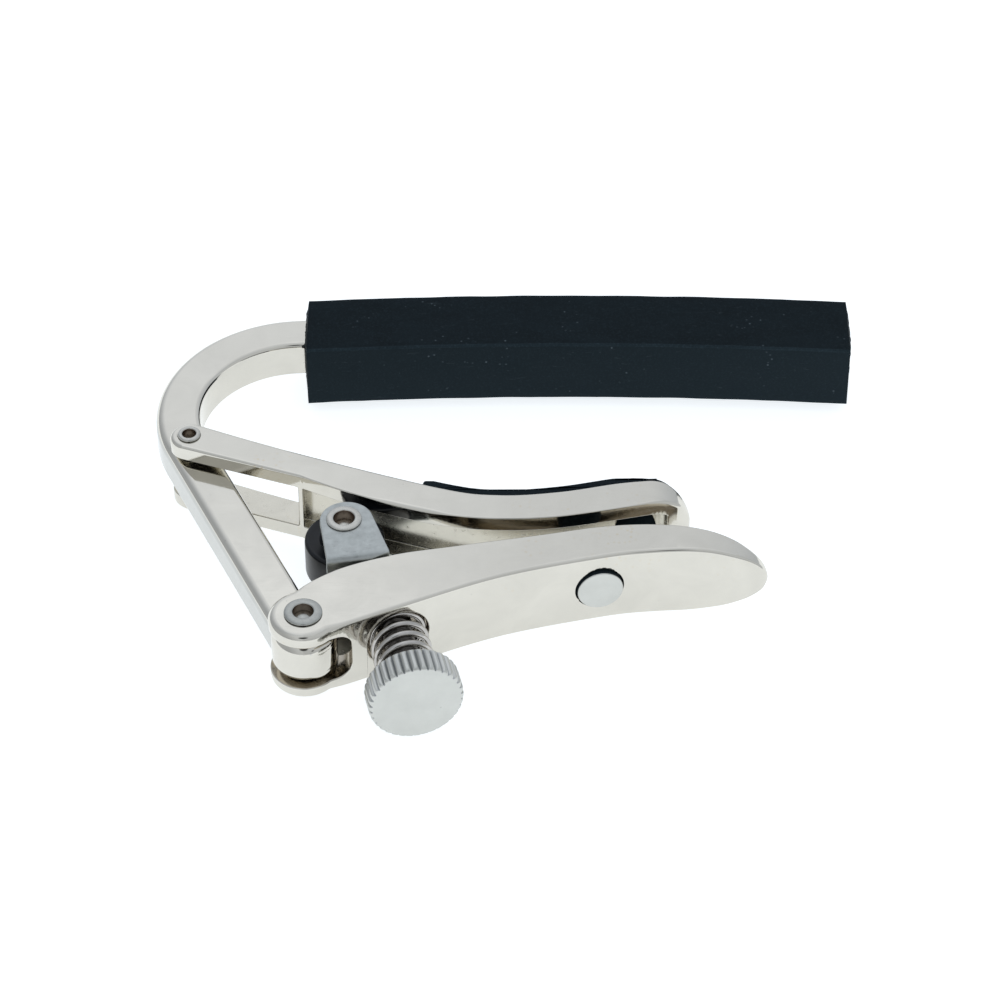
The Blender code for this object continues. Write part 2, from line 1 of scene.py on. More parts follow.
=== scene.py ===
"""Looks of the guitar capo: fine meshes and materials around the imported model, on a white studio floor.

Lengths are millimetres in the capo's own drawing frame: x along the string bar, y from the lever towards the
strings, z from the mid-plane. ORIGIN moves the drawing so that the lever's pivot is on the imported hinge.
"""

import json
import math

import bmesh
import bpy
from mathutils import Matrix, Vector


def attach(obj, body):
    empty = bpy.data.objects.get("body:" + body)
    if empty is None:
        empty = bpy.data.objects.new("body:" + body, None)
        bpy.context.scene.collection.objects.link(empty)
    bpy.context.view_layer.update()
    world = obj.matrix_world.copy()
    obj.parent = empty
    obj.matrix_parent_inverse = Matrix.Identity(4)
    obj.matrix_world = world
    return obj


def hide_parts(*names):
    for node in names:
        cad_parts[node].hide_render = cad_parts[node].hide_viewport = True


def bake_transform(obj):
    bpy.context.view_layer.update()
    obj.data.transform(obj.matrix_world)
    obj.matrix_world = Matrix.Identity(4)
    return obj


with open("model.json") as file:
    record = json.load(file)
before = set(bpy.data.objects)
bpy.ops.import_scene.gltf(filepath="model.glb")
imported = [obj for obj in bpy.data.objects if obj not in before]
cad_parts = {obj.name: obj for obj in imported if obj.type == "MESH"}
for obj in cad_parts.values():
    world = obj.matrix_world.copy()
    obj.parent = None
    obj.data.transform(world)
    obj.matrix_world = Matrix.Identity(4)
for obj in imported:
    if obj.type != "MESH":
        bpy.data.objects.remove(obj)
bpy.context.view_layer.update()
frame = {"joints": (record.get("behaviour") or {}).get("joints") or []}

MM = 0.001

# Pivots and the screw's axis.
ARM_PIVOT = (-39.4, 6.3)
LEVER_PIVOT = (-23.8, -26.0)
ROLLER_CENTRE = (-19.3, -9.8)
SCREW_SEAT = (-12.8, -23.2)
SCREW_TILT = 12.5
HINGE = next(joint for joint in frame["joints"] if joint["name"] == "lever_swing")
ORIGIN = Vector(HINGE["pos_m"]) - Vector((*LEVER_PIVOT, 0.0)) * MM

# String bar and sleeve.
BAR_THICKNESS = 5.3
LEG_WIDTH = 5.7
TOP_WIDTH = 4.8
LEG_ANGLE = 115.0
LEG_OFFSET = 0.57
KNUCKLE_RADIUS = 4.0
BEND_CENTRE = (-25.67, 14.35)
BEND_RADIUS = 15.75
BOW_RADIUS = 490.0
BOW_CREST_AHEAD = 36.0
BAR_END_X = 44.4
SLEEVE_START_X = -25.2
SLEEVE_END_X = 45.6
SLEEVE_NECK_WALL = 4.05
SLEEVE_BACK_WALL = 1.4
SLEEVE_HALF_Z = 4.62
SLEEVE_CORNER = 0.3
SLEEVE_STATIONS = 110
BAR_END_HALF_Z = 3.15
BAR_END_ROUND = 1.8
# At each end: the share of the way from the outline in to the bore, and the swelling there.
SLEEVE_LIP = [(0.03, 0.02), (0.2, 0.07), (0.45, 0.17), (0.7, 0.31), (0.9, 0.38), (1.0, 0.3), (1.0, -6.0)]

# Arm, pad and lever.
ARM_HALF_Z = 5.4
ARM_GAP_HALF_Z = 3.25
ARM_WEB = 2.6
ARM_EAR_RADIUS = 2.45
ARM_NOSE_X = 24.0
ARM_WEB_START_X = -25.4
ARM_GAP_END_X = 22.3
BEHIND_ARM_X = -45.0
PAD_START_X = -10.3
PAD_END_X = 22.2
PAD_NOSE_X = 23.5
PAD_HALF_Z = 4.7
PAD_HEIGHT = 1.55
PAD_TAPER_START_X = 14.5
PAD_NOSE_HEIGHT = 0.45
PAD_STUD_AT = (16.8, -2.18)
PAD_STUD_TILT = 6.0
PAD_STUD_RADIUS = 2.65
LEVER_HALF_Z = 5.3
LEVER_GAP_HALF_Z = 3.4
LEVER_WEB = 2.0
LEVER_EAR_RADIUS = 4.3
LEVER_NOSE_X = 33.2
LEVER_NOSE_DEPTH = 11.5
LEVER_CHANNEL_END_X = 27.5
FORK_END_X = -18.0
BUTTON_AT = (12.3, -16.1)
BUTTON_TILT = 10.0
BUTTON_HOLE_RADIUS = 2.98
BUTTON_PROUD = 0.42

# Roller and bracket.
ROLLER_RADIUS = 5.0
ROLLER_HALF_WIDTH = 2.6
BRACKET_BASE_AT = (-20.7, -17.12)
BRACKET_TILT = 9.0
BRACKET_HALF_Z = 5.75
BRACKET_SHEET = 0.8
BRACKET_BEND = 1.0
BRACKET_EAR_SHIFT = (0.3, -0.05)
BRACKET_EAR_RADIUS = 3.3
TONGUE_HALF_Z = 3.0

# Rivets: shank radius, head radius, head height, hole radius and hole depth, then the bores round the shanks.
ARM_RIVET = (1.25, 1.45, 0.25, 0.85, 1.2)
LEVER_RIVET = (2.0, 2.35, 0.3, 1.25, 1.1)
ROLLER_PIN = (1.85, 2.2, 0.23, 1.3, 1.35)
ARM_BORE_RADIUS = 1.35
LEVER_BORE_RADIUS = 2.1
BRACKET_BORE_RADIUS = 1.95

# Screw, spring and knob; distances run along the screw axis from the spring seat, inwards positive.
SCREW_RADIUS = 2.0
SCREW_NECK_RADIUS = 1.35
THREAD_PITCH = 0.7
THREAD_DEPTH = 0.36
KNOB_RADIUS = 5.85
KNOB_THICKNESS = 3.65
KNOB_BACK = -9.5
KNURLS = 36
SPRING_RADIUS = 3.32
SPRING_WIRE = 0.4
SPRING_TURNS = 5.25
COUNTERBORE_RADIUS = 4.0
SEAT_THICKNESS = 2.4
FACE_GAP = 0.12

# Half the length of a cutter that goes right through.
REACH = 12.0

# The camera's rise above the floor in degrees, and its distance from the drawing's origin in metres.
CAMERA_RISE = 42.5
CAMERA_DISTANCE = 0.506

# The tent's colour along a line from the front horizon (0) over the top to high behind the capo (1).
TENT_SHADES = [(0.0, (0.68, 0.71, 0.75)), (0.16, (0.70, 0.735, 0.78)), (0.34, (0.76, 0.80, 0.85)),
               (0.5, (0.80, 0.84, 0.89)), (0.76, (0.70, 0.75, 0.82)), (0.90, (0.82, 0.87, 0.95)),
               (0.98, (0.93, 0.975, 1.05)), (1.0, (0.94, 0.985, 1.06))]

# Points of the outlines.
ARM_NECK_SIDE = [(-38.45, 8.55), (-25.2, 3.05), (-7.5, -3.3), (0.0, -4.6), (7.5, -4.0), (15.0, -2.4),
                 (19.8, -1.95)]
ARM_OPEN_SIDE = [(18.7, -6.4), (7.4, -8.8), (0.0, -9.25), (-6.2, -8.6), (-12.4, -6.9), (-18.7, -4.5),
                 (-25.1, -1.4)]
ARM_NOSE = [(22.2, -2.6), (23.65, -3.7), (23.7, -4.7), (22.2, -5.45)]
ARM_CHANNEL_END = [(18.6, -4.75), (20.6, -5.5), (22.2, -7.6)]
LEVER_INNER = [(-24.6, -21.5), (-19.6, -18.0), (-12.9, -15.5), (-6.1, -14.1), (4.9, -12.0), (12.4, -10.5),
               (18.6, -10.05), (24.8, -10.65), (28.6, -11.5), (31.6, -12.7)]
LEVER_NOSE = [(32.7, -13.3), (33.2, -13.95), (32.7, -14.5)]
LEVER_OUTER = [(31.6, -14.6), (28.6, -14.75), (25.0, -14.75), (18.6, -15.1), (12.4, -16.1), (0.0, -19.5),
               (-12.1, -24.8), (-20.2, -28.68)]
FOOT_NOTCH = [(-18.4, -20.0), (-8.0, -20.0), (-8.0, -13.4), (-12.9, -15.25), (-16.9, -16.7), (-18.4, -17.5)]


# ---- Plane geometry ----


def direction(angle):
    return math.cos(math.radians(angle)), math.sin(math.radians(angle))


def arc(centre, radius, start, end, count):
    """Points on a circle from angle start to angle end, in degrees, both included."""
    angles = [start + (end - start) * i / count for i in range(count + 1)]
    return [(centre[0] + radius * direction(a)[0], centre[1] + radius * direction(a)[1]) for a in angles]


def catmull(a, b, c, d, t):
    return 0.5 * (
        2 * b + (c - a) * t + (2 * a - 5 * b + 4 * c - d) * t * t + (3 * b - a - 3 * c + d) * t ** 3
    )


def smooth(points, steps=12):
    """A Catmull-Rom curve through the points."""
    ends = [points[0], *points, points[-1]]
    found = []
    for a, b, c, d in zip(ends, ends[1:], ends[2:], ends[3:]):
        found += [tuple(catmull(a[k], b[k], c[k], d[k], i / steps) for k in range(2)) for i in range(steps)]
    return [*found, points[-1]]


def along(start, heading, distance, side=0.0):
    """A point at a distance along a heading, and to the left of it by side."""
    return (
        start[0] + heading[0] * distance - heading[1] * side,
        start[1] + heading[1] * distance + heading[0] * side,
    )


def offset_line(points, distance):
    """The open line moved to its right by distance, point by point."""
    moved = []
    for i, point in enumerate(points):
        ahead = points[min(i + 1, len(points) - 1)]
        behind = points[max(i - 1, 0)]
        heading = [(a - b) / math.dist(ahead, behind) for a, b in zip(ahead, behind)]
        moved.append(along(point, heading, 0.0, -distance))
    return moved


def mirrored(points):
    """The points with their second coordinate reversed, in the opposite order."""
    return [(a, -b) for a, b in reversed(points)]


SCREW_IN = direction(90.0 + SCREW_TILT)
BOW_TILT = math.degrees(math.asin(BOW_CREST_AHEAD / BOW_RADIUS))
BOW_CENTRE = along(BEND_CENTRE, direction(90.0 + BOW_TILT), BEND_RADIUS - BOW_RADIUS)
BASE_DISTANCE = sum((b - s) * d for b, s, d in zip(BRACKET_BASE_AT, SCREW_SEAT, SCREW_IN))


def bow_point(x, offset):
    radius = BOW_RADIUS + offset
    return x, BOW_CENTRE[1] + math.sqrt(radius ** 2 - (x - BOW_CENTRE[0]) ** 2)


def bow_line(start, end, offset, count=40):
    return [bow_point(start + (end - start) * i / count, offset) for i in range(count + 1)]


# ---- Placing shapes in the drawing ----


def upright(x=0.0, y=0.0):
    """An axis along z through a point of the drawing."""
    return Matrix.Translation((x, y, 0.0))


def in_plane(x, y, tilt, distance=0.0):
    """An axis in the drawing's plane: z of the shape points tilt degrees to the left of +y."""
    turn = Matrix.Rotation(math.radians(tilt), 4, "Z") @ Matrix.Rotation(math.radians(-90.0), 4, "X")
    return Matrix.Translation((*along((x, y), direction(90.0 + tilt), distance), 0.0)) @ turn


def on_screw_axis(distance=0.0):
    return in_plane(*SCREW_SEAT, SCREW_TILT, distance)


def on_button_axis(shift=0.0):
    return in_plane(BUTTON_AT[0] + shift, BUTTON_AT[1], BUTTON_TILT)


# ---- Solids; every mesh is in drawing millimetres until finish_piece() ----


def new_object(name, data):
    obj = bpy.data.objects.new(name, data)
    bpy.context.scene.collection.objects.link(obj)
    return obj


def evaluated_mesh(obj):
    graph = bpy.context.evaluated_depsgraph_get()
    return bpy.data.meshes.new_from_object(obj.evaluated_get(graph))


def built(name, work):
    """An object from a finished bmesh, with its normals outwards."""
    bmesh.ops.recalc_face_normals(work, faces=work.faces)
    mesh = bpy.data.meshes.new(name)
    work.to_mesh(mesh)
    work.free()
    return new_object(name, mesh)


def clean(mesh, merge=0.0005):
    """Merges vertices that a Boolean or a bevel leaves almost on top of each other."""
    work = bmesh.new()
    work.from_mesh(mesh)
    bmesh.ops.remove_doubles(work, verts=work.verts, dist=merge)
    bmesh.ops.dissolve_degenerate(work, edges=work.edges, dist=merge)
    bmesh.ops.recalc_face_normals(work, faces=work.faces)
    work.to_mesh(mesh)
    work.free()
    return mesh


def apply_modifiers(obj, merge=0.0005):
    mesh = evaluated_mesh(obj)
    obj.modifiers.clear()
    obj.data = clean(mesh, merge)


def plate(name, points, low, high):
    """A flat outline in the x-y plane, filled between two heights."""
    curve = bpy.data.curves.new(name, "CURVE")
    curve.dimensions = "2D"
    curve.fill_mode = "BOTH"
    curve.extrude = (high - low) / 2
    spline = curve.splines.new("POLY")
    spline.points.add(len(points) - 1)
    for point, (x, y) in zip(spline.points, points):
        point.co = (x, y, 0.0, 1.0)
    spline.use_cyclic_u = True
    holder = new_object(name + "_curve", curve)
    mesh = evaluated_mesh(holder)
    bpy.data.objects.remove(holder)
    mesh.transform(Matrix.Translation((0.0, 0.0, (low + high) / 2)))
    return new_object(name, clean(mesh))


def rounded_plate(name, points, radius_at, half_z_at, flat_end=math.inf):
    """A plate with round edges; its half thickness may shrink beyond x = flat_end, as at a nose.

    The radius and the half thickness are functions of (x, y), and the outline runs counter-clockwise.
    """
    segments = 6
    outline = [p for i, p in enumerate(points) if math.dist(p, points[i - 1]) > 0.01]
    count = len(outline)
    inwards = []
    for i, point in enumerate(outline):
        before = (Vector(point) - Vector(outline[i - 1])).orthogonal().normalized()
        after = (Vector(outline[(i + 1) % count]) - Vector(point)).orthogonal().normalized()
        middle = (before + after).normalized()
        inwards.append(middle / max(middle.dot(after), 0.7))
    radii = [radius_at(*point) for point in outline]
    for _ in range(6):
        radii = [(radii[i - 1] + radii[i] + radii[(i + 1) % count]) / 3 for i in range(count)]
    work = bmesh.new()
    rows = []
    for side, angles in ((-1.0, range(segments, -1, -1)), (1.0, range(segments + 1))):
        for step in angles:
            turn = math.radians(90.0 * step / segments)
            row = []
            for point, inward, radius in zip(outline, inwards, radii):
                x, y = Vector(point) + inward * radius * (1.0 - math.cos(turn))
                height = max(half_z_at(x, y) - radius * (1.0 - math.sin(turn)), 0.001 * (1 + step))
                row.append(work.verts.new((x, y, side * height)))
            rows.append(row)
    for lower, upper in zip(rows, rows[1:]):
        for i in range(count):
            work.faces.new((lower[i - 1], lower[i], upper[i], upper[i - 1]))
    for row in (rows[0], rows[-1]):
        cap(work, row, flat_end)
    return built(name, work)


def cap(work, row, flat_end):
    """Closes a ring: one flat face up to x = flat_end, then a strip of triangles to the nose."""
    beyond = [i for i, vertex in enumerate(row) if vertex.co.x > flat_end]
    if not beyond:
        work.faces.new(row)
        return
    tip = max(beyond, key=lambda i: row[i].co.x)
    one = row[beyond[0] - 1:tip + 1]
    other = row[tip:beyond[-1] + 2][::-1]
    work.faces.new([*row[beyond[-1] + 1:], *row[:beyond[0]]])
    i = j = 0
    while i < len(one) - 1 or j < len(other) - 1:
        if j == len(other) - 1 or (i < len(one) - 1 and one[i + 1].co.x <= other[j + 1].co.x):
            corners = [one[i], one[i + 1], other[j]]
            i += 1
        else:
            corners = [one[i], other[j + 1], other[j]]
            j += 1
        if len(set(corners)) == 3:
            work.faces.new(corners)


def plan_prism(name, plan, low_y, high_y):
    """A prism with its outline in the x-z plane, between two y values."""
    prism = plate(name, [(x, -z) for x, z in plan], low_y, high_y)
    prism.data.transform(Matrix.Rotation(math.radians(-90.0), 4, "X"))
    return prism


def turned(name, profile, place, segments=64):
    """A profile of (radius, height) pairs, from the top down its outer side, turned about z."""
    work = bmesh.new()
    verts = [work.verts.new((r, 0.0, z)) for r, z in profile]
    edges = [work.edges.new(pair) for pair in zip(verts, verts[1:])]
    bmesh.ops.spin(work, geom=verts + edges, cent=(0, 0, 0), axis=(0, 0, 1), angle=2 * math.pi,
                   steps=segments, use_merge=True)
    bmesh.ops.remove_doubles(work, verts=work.verts, dist=0.0005)
    obj = built(name, work)
    obj.data.transform(place)
    return obj


def cylinder(name, radius, low, high, place):
    return turned(name, [(0.0, high), (radius, high), (radius, low), (0.0, low)], place)


def boolean(obj, cutter, operation="DIFFERENCE"):
    """Cuts or intersects at once, and throws the cutter away; new faces take the second material."""
    for mesh in (obj.data, cutter.data):
        while len(mesh.materials) < 2:
            mesh.materials.append(None)
    cutter.data.polygons.foreach_set("material_index", [1] * len(cutter.data.polygons))
    tool = obj.modifiers.new(cutter.name, "BOOLEAN")
    tool.operation = operation
    tool.object = cutter
    tool.solver = "EXACT"
    apply_modifiers(obj)
    bpy.data.objects.remove(cutter)


def fillet(obj, width_of):
    """Rounds every edge sharper than 28 degrees, by width_of(middle, first normal, second normal) in mm."""
    clean(obj.data, 0.02)
    work = bmesh.new()
    work.from_mesh(obj.data)
    widths = {}
    for edge in work.edges:
        if len(edge.link_faces) == 2 and edge.calc_face_angle(0.0) > math.radians(28.0):
            middle = (edge.verts[0].co + edge.verts[1].co) / 2
            widths[edge.index] = width_of(middle, *(face.normal for face in edge.link_faces))
    work.free()
    widest = max(widths.values())
    weights = obj.data.attributes.new("bevel_weight_edge", "FLOAT", "EDGE")
    for index, width in widths.items():
        weights.data[index].value = width / widest
    tool = obj.modifiers.new("edges", "BEVEL")
    tool.limit_method = "WEIGHT"
    tool.width = widest
    tool.segments = 3
    tool.use_clamp_overlap = False
    tool.miter_outer = "MITER_ARC"


def circle(radius, height, count):
    """A ring of points about z; the radius is a number, or a function of the angle in degrees."""
    ring = []
    for k in range(count):
        angle = 360.0 * k / count
        size = radius(angle) if callable(radius) else radius
        ring.append((*(size * c for c in direction(angle)), height))
    return ring


def loft(name, rings, caps=True, second=()):
    """A skin through rings of points; the columns named in second take the piece's second material."""
    work = bmesh.new()
    rows = [[work.verts.new(point) for point in ring] for ring in rings]
    pairs = list(zip(rows, rows[1:]))
    if not caps:
        pairs.append((rows[-1], rows[0]))
    for lower, upper in pairs:
        for i in range(len(lower)):
            j = (i + 1) % len(lower)
            work.faces.new((lower[i], lower[j], upper[j], upper[i])).material_index = int(i in second)
    if caps:
        work.faces.new(rows[0][::-1])
        work.faces.new(rows[-1])
    return built(name, work)


def shade_fairly(mesh, sharp):
    """Smooth shading in which broad faces keep their own normal and the fillets blend into them."""
    work = bmesh.new()
    work.from_mesh(mesh)
    limit = math.cos(math.radians(sharp))
    weights = {face: face.calc_area() ** 2 + 1e-12 for face in work.faces}
    normals = []
    for face in work.faces:
        for vertex in face.verts:
            total = Vector()
            for other in vertex.link_faces:
                if face.normal.dot(other.normal) > limit:
                    total += other.normal * weights[other]
            normals.append(total.normalized() if total.length > 0.0 else face.normal.copy())
    work.free()
    mesh.shade_smooth()
    mesh.normals_split_custom_set(normals)


def finish_piece(obj, body, look, node=None, sharp=40.0, second_look=None):
    """Applies the modifiers, smooths the shading, moves the piece to its place and hands it to the frame."""
    if obj.modifiers:
        apply_modifiers(obj, 0.001)
    obj.data.transform(Matrix.Scale(MM, 4))
    shade_fairly(obj.data, sharp)
    indices = [polygon.material_index for polygon in obj.data.polygons]
    obj.data.materials.clear()
    obj.data.materials.append(look)
    if second_look:
        obj.data.materials.append(second_look)
        obj.data.polygons.foreach_set("material_index", indices)
    obj.location = ORIGIN
    if body:
        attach(obj, body)
    if node:
        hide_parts(node)


# ---- Materials ----


def plug(socket, value):
    """Links an input to another node's output, or sets its value."""
    if isinstance(value, bpy.types.NodeSocket):
        socket.id_data.links.new(value, socket)
    else:
        socket.default_value = value


def add_node(tree, kind, output, inputs, **settings):
    """Adds a shader node with the given inputs and settings, and returns one of its outputs."""
    node = tree.nodes.new("ShaderNode" + kind)
    for setting, value in settings.items():
        setattr(node, setting, value)
    for key, value in inputs.items():
        plug(node.inputs[key], value)
    return node.outputs[output]


class Look:
    """A Principled material, with short names for the nodes that its textures use."""

    def __init__(self, name, colour, roughness, metallic=0.0):
        self.material = bpy.data.materials.new(name)
        self.material.use_nodes = True
        self.tree = self.material.node_tree
        self.set("Base Color", (*colour, 1.0))
        self.set("Roughness", roughness)
        self.set("Metallic", metallic)
        self.coords = self.node("TexCoord", "Object", {})

    def set(self, socket, value):
        plug(self.tree.nodes["Principled BSDF"].inputs[socket], value)

    def node(self, kind, output, inputs, **settings):
        return add_node(self.tree, kind, output, inputs, **settings)

    def stretched(self, scale):
        """Object coordinates scaled by a number or a triple, in features per millimetre."""
        scales = scale if isinstance(scale, tuple) else (scale, scale, scale)
        return self.node("Mapping", "Vector", {"Vector": self.coords, "Scale": [s / MM for s in scales]})

    def facing(self, axis):
        """The object-space normal's share along an axis."""
        return self.node("SeparateXYZ", axis, {"Vector": self.coords.node.outputs["Normal"]})

    def noise(self, scale, detail=4.0, rough=0.55, distortion=0.0):
        return self.node("TexNoise", "Fac", {"Vector": self.stretched(scale), "Scale": 1.0, "Detail": detail,
                                             "Roughness": rough, "Distortion": distortion})

    def specks(self, scale, size, softness=0.4):
        """Scattered round specks: 1 inside a speck of the given share of its cell, 0 outside."""
        cells = self.node("TexVoronoi", "Distance", {"Vector": self.stretched(scale), "Scale": 1.0})
        return self.band(cells, size, size * softness)

    def band(self, value, start, end, low=0.0, high=1.0):
        """Maps start..end to low..high, clamped; start may be the larger."""
        return self.node("MapRange", "Result", {"Value": value, "From Min": start, "From Max": end,
                                                "To Min": low, "To Max": high})

    def lerp(self, share, low, high):
        return self.band(share, 0.0, 1.0, low, high)

    def times(self, first, second):
        return self.node("Math", "Value", {0: first, 1: second}, operation="MULTIPLY")

    def plus(self, first, second):
        return self.node("Math", "Value", {0: first, 1: second}, operation="ADD")

    def mix(self, share, first, second):
        """A colour mix, through the Mix node's colour sockets; each colour is a triple or another mix."""
        colours = [(*c, 1.0) if isinstance(c, tuple) else c for c in (first, second)]
        return self.node("Mix", 2, {0: share, 6: colours[0], 7: colours[1]}, data_type="RGBA")

    def bump(self, *layers):
        """Stacks bump layers of (height output, distance in mm, strength)."""
        below = {}
        for height, distance, strength in layers:
            inputs = {"Height": height, "Distance": distance * MM, "Strength": strength, **below}
            below = {"Normal": self.node("Bump", "Normal", inputs)}
        self.set("Normal", below["Normal"])


def shade(colour, factor):
    return tuple(c * factor for c in colour)


def polished_nickel(name, lines, base=(0.665, 0.640, 0.575), dull=0.0):
    """Warm mirror plate: slow polishing waves, faint hairlines, smudges, tarnish specks and a few pits."""
    look = Look(name, base, 0.09, 1.0)
    smudge = look.noise(0.16, 3.0, 0.6, 0.6)
    hairline = look.noise(lines, 2.0, 0.5)
    pits = look.specks(0.36, 0.04)
    clouds = look.band(smudge, 0.35, 0.7)
    tarnish = look.times(look.specks(1.3, 0.34, 0.3), look.band(look.noise(0.09, 2.0), 0.58, 0.70))
    tone = look.mix(clouds, base, shade(base, 0.935))
    tone = look.mix(look.times(tarnish, 0.45), tone, (base[0] * 0.92, base[1] * 0.82, base[2] * 0.66))
    look.set("Base Color", look.mix(pits, tone, shade(base, 0.78)))
    scuffs = look.times(look.band(hairline, 0.56, 0.72), 0.10)
    haze = look.lerp(clouds, 0.055 + dull, 0.115 + dull)
    look.set("Roughness", look.plus(look.plus(haze, scuffs), look.times(pits, 0.15)))
    waves = look.noise(0.11, 1.0, 0.4)
    look.bump((waves, 0.25, 0.22), (hairline, 0.004, 0.12), (pits, -0.02, 0.3))
    return look.material


def satin_steel():
    """Dull zinc plate on pressed sheet, with rolling streaks and handling scratches."""
    base = (0.435, 0.458, 0.449)
    look = Look("satin_steel", base, 0.4, 1.0)
    mottle = look.noise(0.9, 5.0, 0.6)
    streak = look.noise((2.6, 0.35, 0.5), 3.0, 0.5)
    marks = look.band(look.noise((1.1, 3.4, 1.1), 2.0, 0.5, 1.2), 0.62, 0.70)
    tone = look.mix(look.band(mottle, 0.3, 0.7), shade(base, 0.86), shade(base, 1.1))
    look.set("Base Color", look.mix(look.times(marks, 0.35), tone, shade(base, 0.55)))
    look.set("Roughness", look.lerp(streak, 0.3, 0.5))
    look.bump((mottle, 0.03, 0.35), (streak, 0.02, 0.25))
    return look.material


def satin_knob(name, base):
    """Frosted plate: even fine grain with a few faint handling marks."""
    look = Look(name, base, 0.36, 1.0)
    grain = look.noise(9.0, 3.0, 0.6)
    cloud = look.noise(0.35, 4.0, 0.6)
    marks = look.specks(0.45, 0.07)
    tone = look.mix(look.band(cloud, 0.35, 0.7), base, shade(base, 0.93))
    look.set("Base Color", look.mix(marks, tone, shade(base, 0.8)))
    look.set("Roughness", look.lerp(grain, 0.30, 0.44))
    look.bump((grain, 0.012, 0.4))
    return look.material


def drawn_wire(name, base, roughness):
    """Drawn or turned metal, more or less dull, with faint streaks."""
    look = Look(name, base, roughness, 1.0)
    drawn = look.noise(1.4, 5.0, 0.65)
    look.set("Base Color", look.mix(look.band(drawn, 0.35, 0.7), base, shade(base, 0.86)))
    look.set("Roughness", look.lerp(drawn, roughness * 0.8, roughness * 1.25))
    look.bump((drawn, 0.01, 0.2))
    return look.material


def black_rubber(name, dust_and_lit_front, fade=1.0):
    """Blue-black moulded rubber: fine grain, cloudy bloom and, with dust, dust specks and lint, and front
    faces painted paler: painted light.
    """
    base = shade((0.0084, 0.0132, 0.0163), fade)
    look = Look(name, base, 0.6, 0.0)
    look.set("Specular IOR Level", 0.03)
    grain = look.noise(4.0, 4.0, 0.7)
    bloom = look.noise((0.14, 0.3, 0.3), 4.0, 0.6, 0.8)
    tone = look.mix(look.band(bloom, 0.35, 0.72), base, shade(base, 1.35))
    if dust_and_lit_front:
        # Faces turned towards the front are made paler: painted light.
        tone = look.mix(look.band(look.facing("Y"), -0.5, -0.9), tone, shade(base, 1.62))
    tone = look.mix(look.times(look.band(grain, 0.5, 0.72), 0.6), tone, shade(base, 2.6))
    if dust_and_lit_front:
        where = look.band(look.noise((0.16, 0.25, 0.25), 2.0), 0.55, 0.68)
        fine = look.times(look.specks(1.1, 0.2), where)
        tone = look.mix(look.times(fine, 0.6), tone, (0.11, 0.14, 0.16))
        lint = look.band(look.noise((0.35, 2.4, 2.4), 3.0, 0.55, 1.6), 0.675, 0.71)
        tone = look.mix(look.times(lint, 0.25), tone, (0.06, 0.075, 0.085))
    look.set("Base Color", tone)
    look.set("Roughness", look.lerp(bloom, 0.5, 0.72))
    look.bump((grain, 0.03, 0.3), (bloom, 0.12, 0.2))
    return look.material


def black_nylon():
    """Smooth moulded roller with faint turning rings and scuffs from the arm."""
    base = (0.003, 0.004, 0.006)
    look = Look("black_nylon", base, 0.3, 0.0)
    look.set("Specular IOR Level", 0.30)
    scuff = look.noise((0.5, 0.5, 3.2), 4.0, 0.6)
    look.set("Base Color", look.mix(look.band(scuff, 0.5, 0.75), base, shade(base, 2.4)))
    look.set("Roughness", look.lerp(scuff, 0.2, 0.42))
    look.bump((scuff, 0.02, 0.3))
    return look.material


# ---- String bar and sleeve ----


def bar_outline():
    """The bar's side view: knuckle, leg, bend and top run, counter-clockwise."""
    half_leg = LEG_WIDTH / 2
    half_top = TOP_WIDTH / 2
    lean = math.degrees(math.asin((half_leg - LEG_OFFSET) / KNUCKLE_RADIUS))
    outer_lean = math.degrees(math.asin((half_leg + LEG_OFFSET) / KNUCKLE_RADIUS))
    knuckle = arc(LEVER_PIVOT, KNUCKLE_RADIUS, LEG_ANGLE + outer_lean, LEG_ANGLE + 360.0 - lean, 60)
    inner = arc(BEND_CENTRE, BEND_RADIUS - half_leg, LEG_ANGLE + 90.0, 90.0 + BOW_TILT, 56)
    outer = arc(BEND_CENTRE, BEND_RADIUS + half_leg, 90.0 + BOW_TILT, LEG_ANGLE + 90.0, 70)
    step_x = SLEEVE_START_X + 1.0
    inner.append(bow_point(step_x, -half_leg))
    outer.insert(0, bow_point(step_x, half_leg))
    top_inner = bow_line(step_x + 0.6, BAR_END_X, -half_top)
    top_outer = bow_line(BAR_END_X, step_x + 0.6, half_top)
    return knuckle + inner + top_inner + top_outer + outer


def make_bar(look, outer_side_shade_look):
    bar = rounded_plate("bar_polished", bar_outline(), bar_edge_radius, lambda x, y: BAR_THICKNESS / 2)
    # The outer side faces of the leg and bend take the second look, a darker, greyer copy of the nickel:
    # painted shade.
    for polygon in bar.data.polygons:
        outside = bar_edge_radius(*polygon.center.xy) > 1.0 and abs(polygon.normal.z) < 0.5
        polygon.material_index = int(outside)
    finish_piece(bar, "bar", look, "neck_bar", second_look=outer_side_shade_look)


def bar_edge_radius(x, y):
    """Broad rounding outside the leg and the bend, small inside."""
    across = direction(LEG_ANGLE - 90.0)
    outside_leg = (x - LEVER_PIVOT[0]) * across[0] + (y - LEVER_PIVOT[1]) * across[1] < -LEG_OFFSET
    outside_bend = math.dist((x, y), BEND_CENTRE) > BEND_RADIUS and y > ARM_PIVOT[1]
    return 1.25 if (outside_leg and y < ARM_PIVOT[1]) or outside_bend else 0.65


def make_knuckle_barrel(look):
    """The bar's end is thicker between the lever's ears, with broad round corners."""
    half = BAR_END_HALF_Z
    bore = LEVER_RIVET[0] + 0.05
    rim = arc((KNUCKLE_RADIUS + 0.04 - BAR_END_ROUND, half - BAR_END_ROUND), BAR_END_ROUND, 90.0, 0.0, 14)
    ring = [(bore, half), *rim, *mirrored(rim), (bore, -half), (bore, half)]
    barrel = turned("knuckle_barrel", ring, upright(*LEVER_PIVOT), 96)
    finish_piece(barrel, "bar", look)


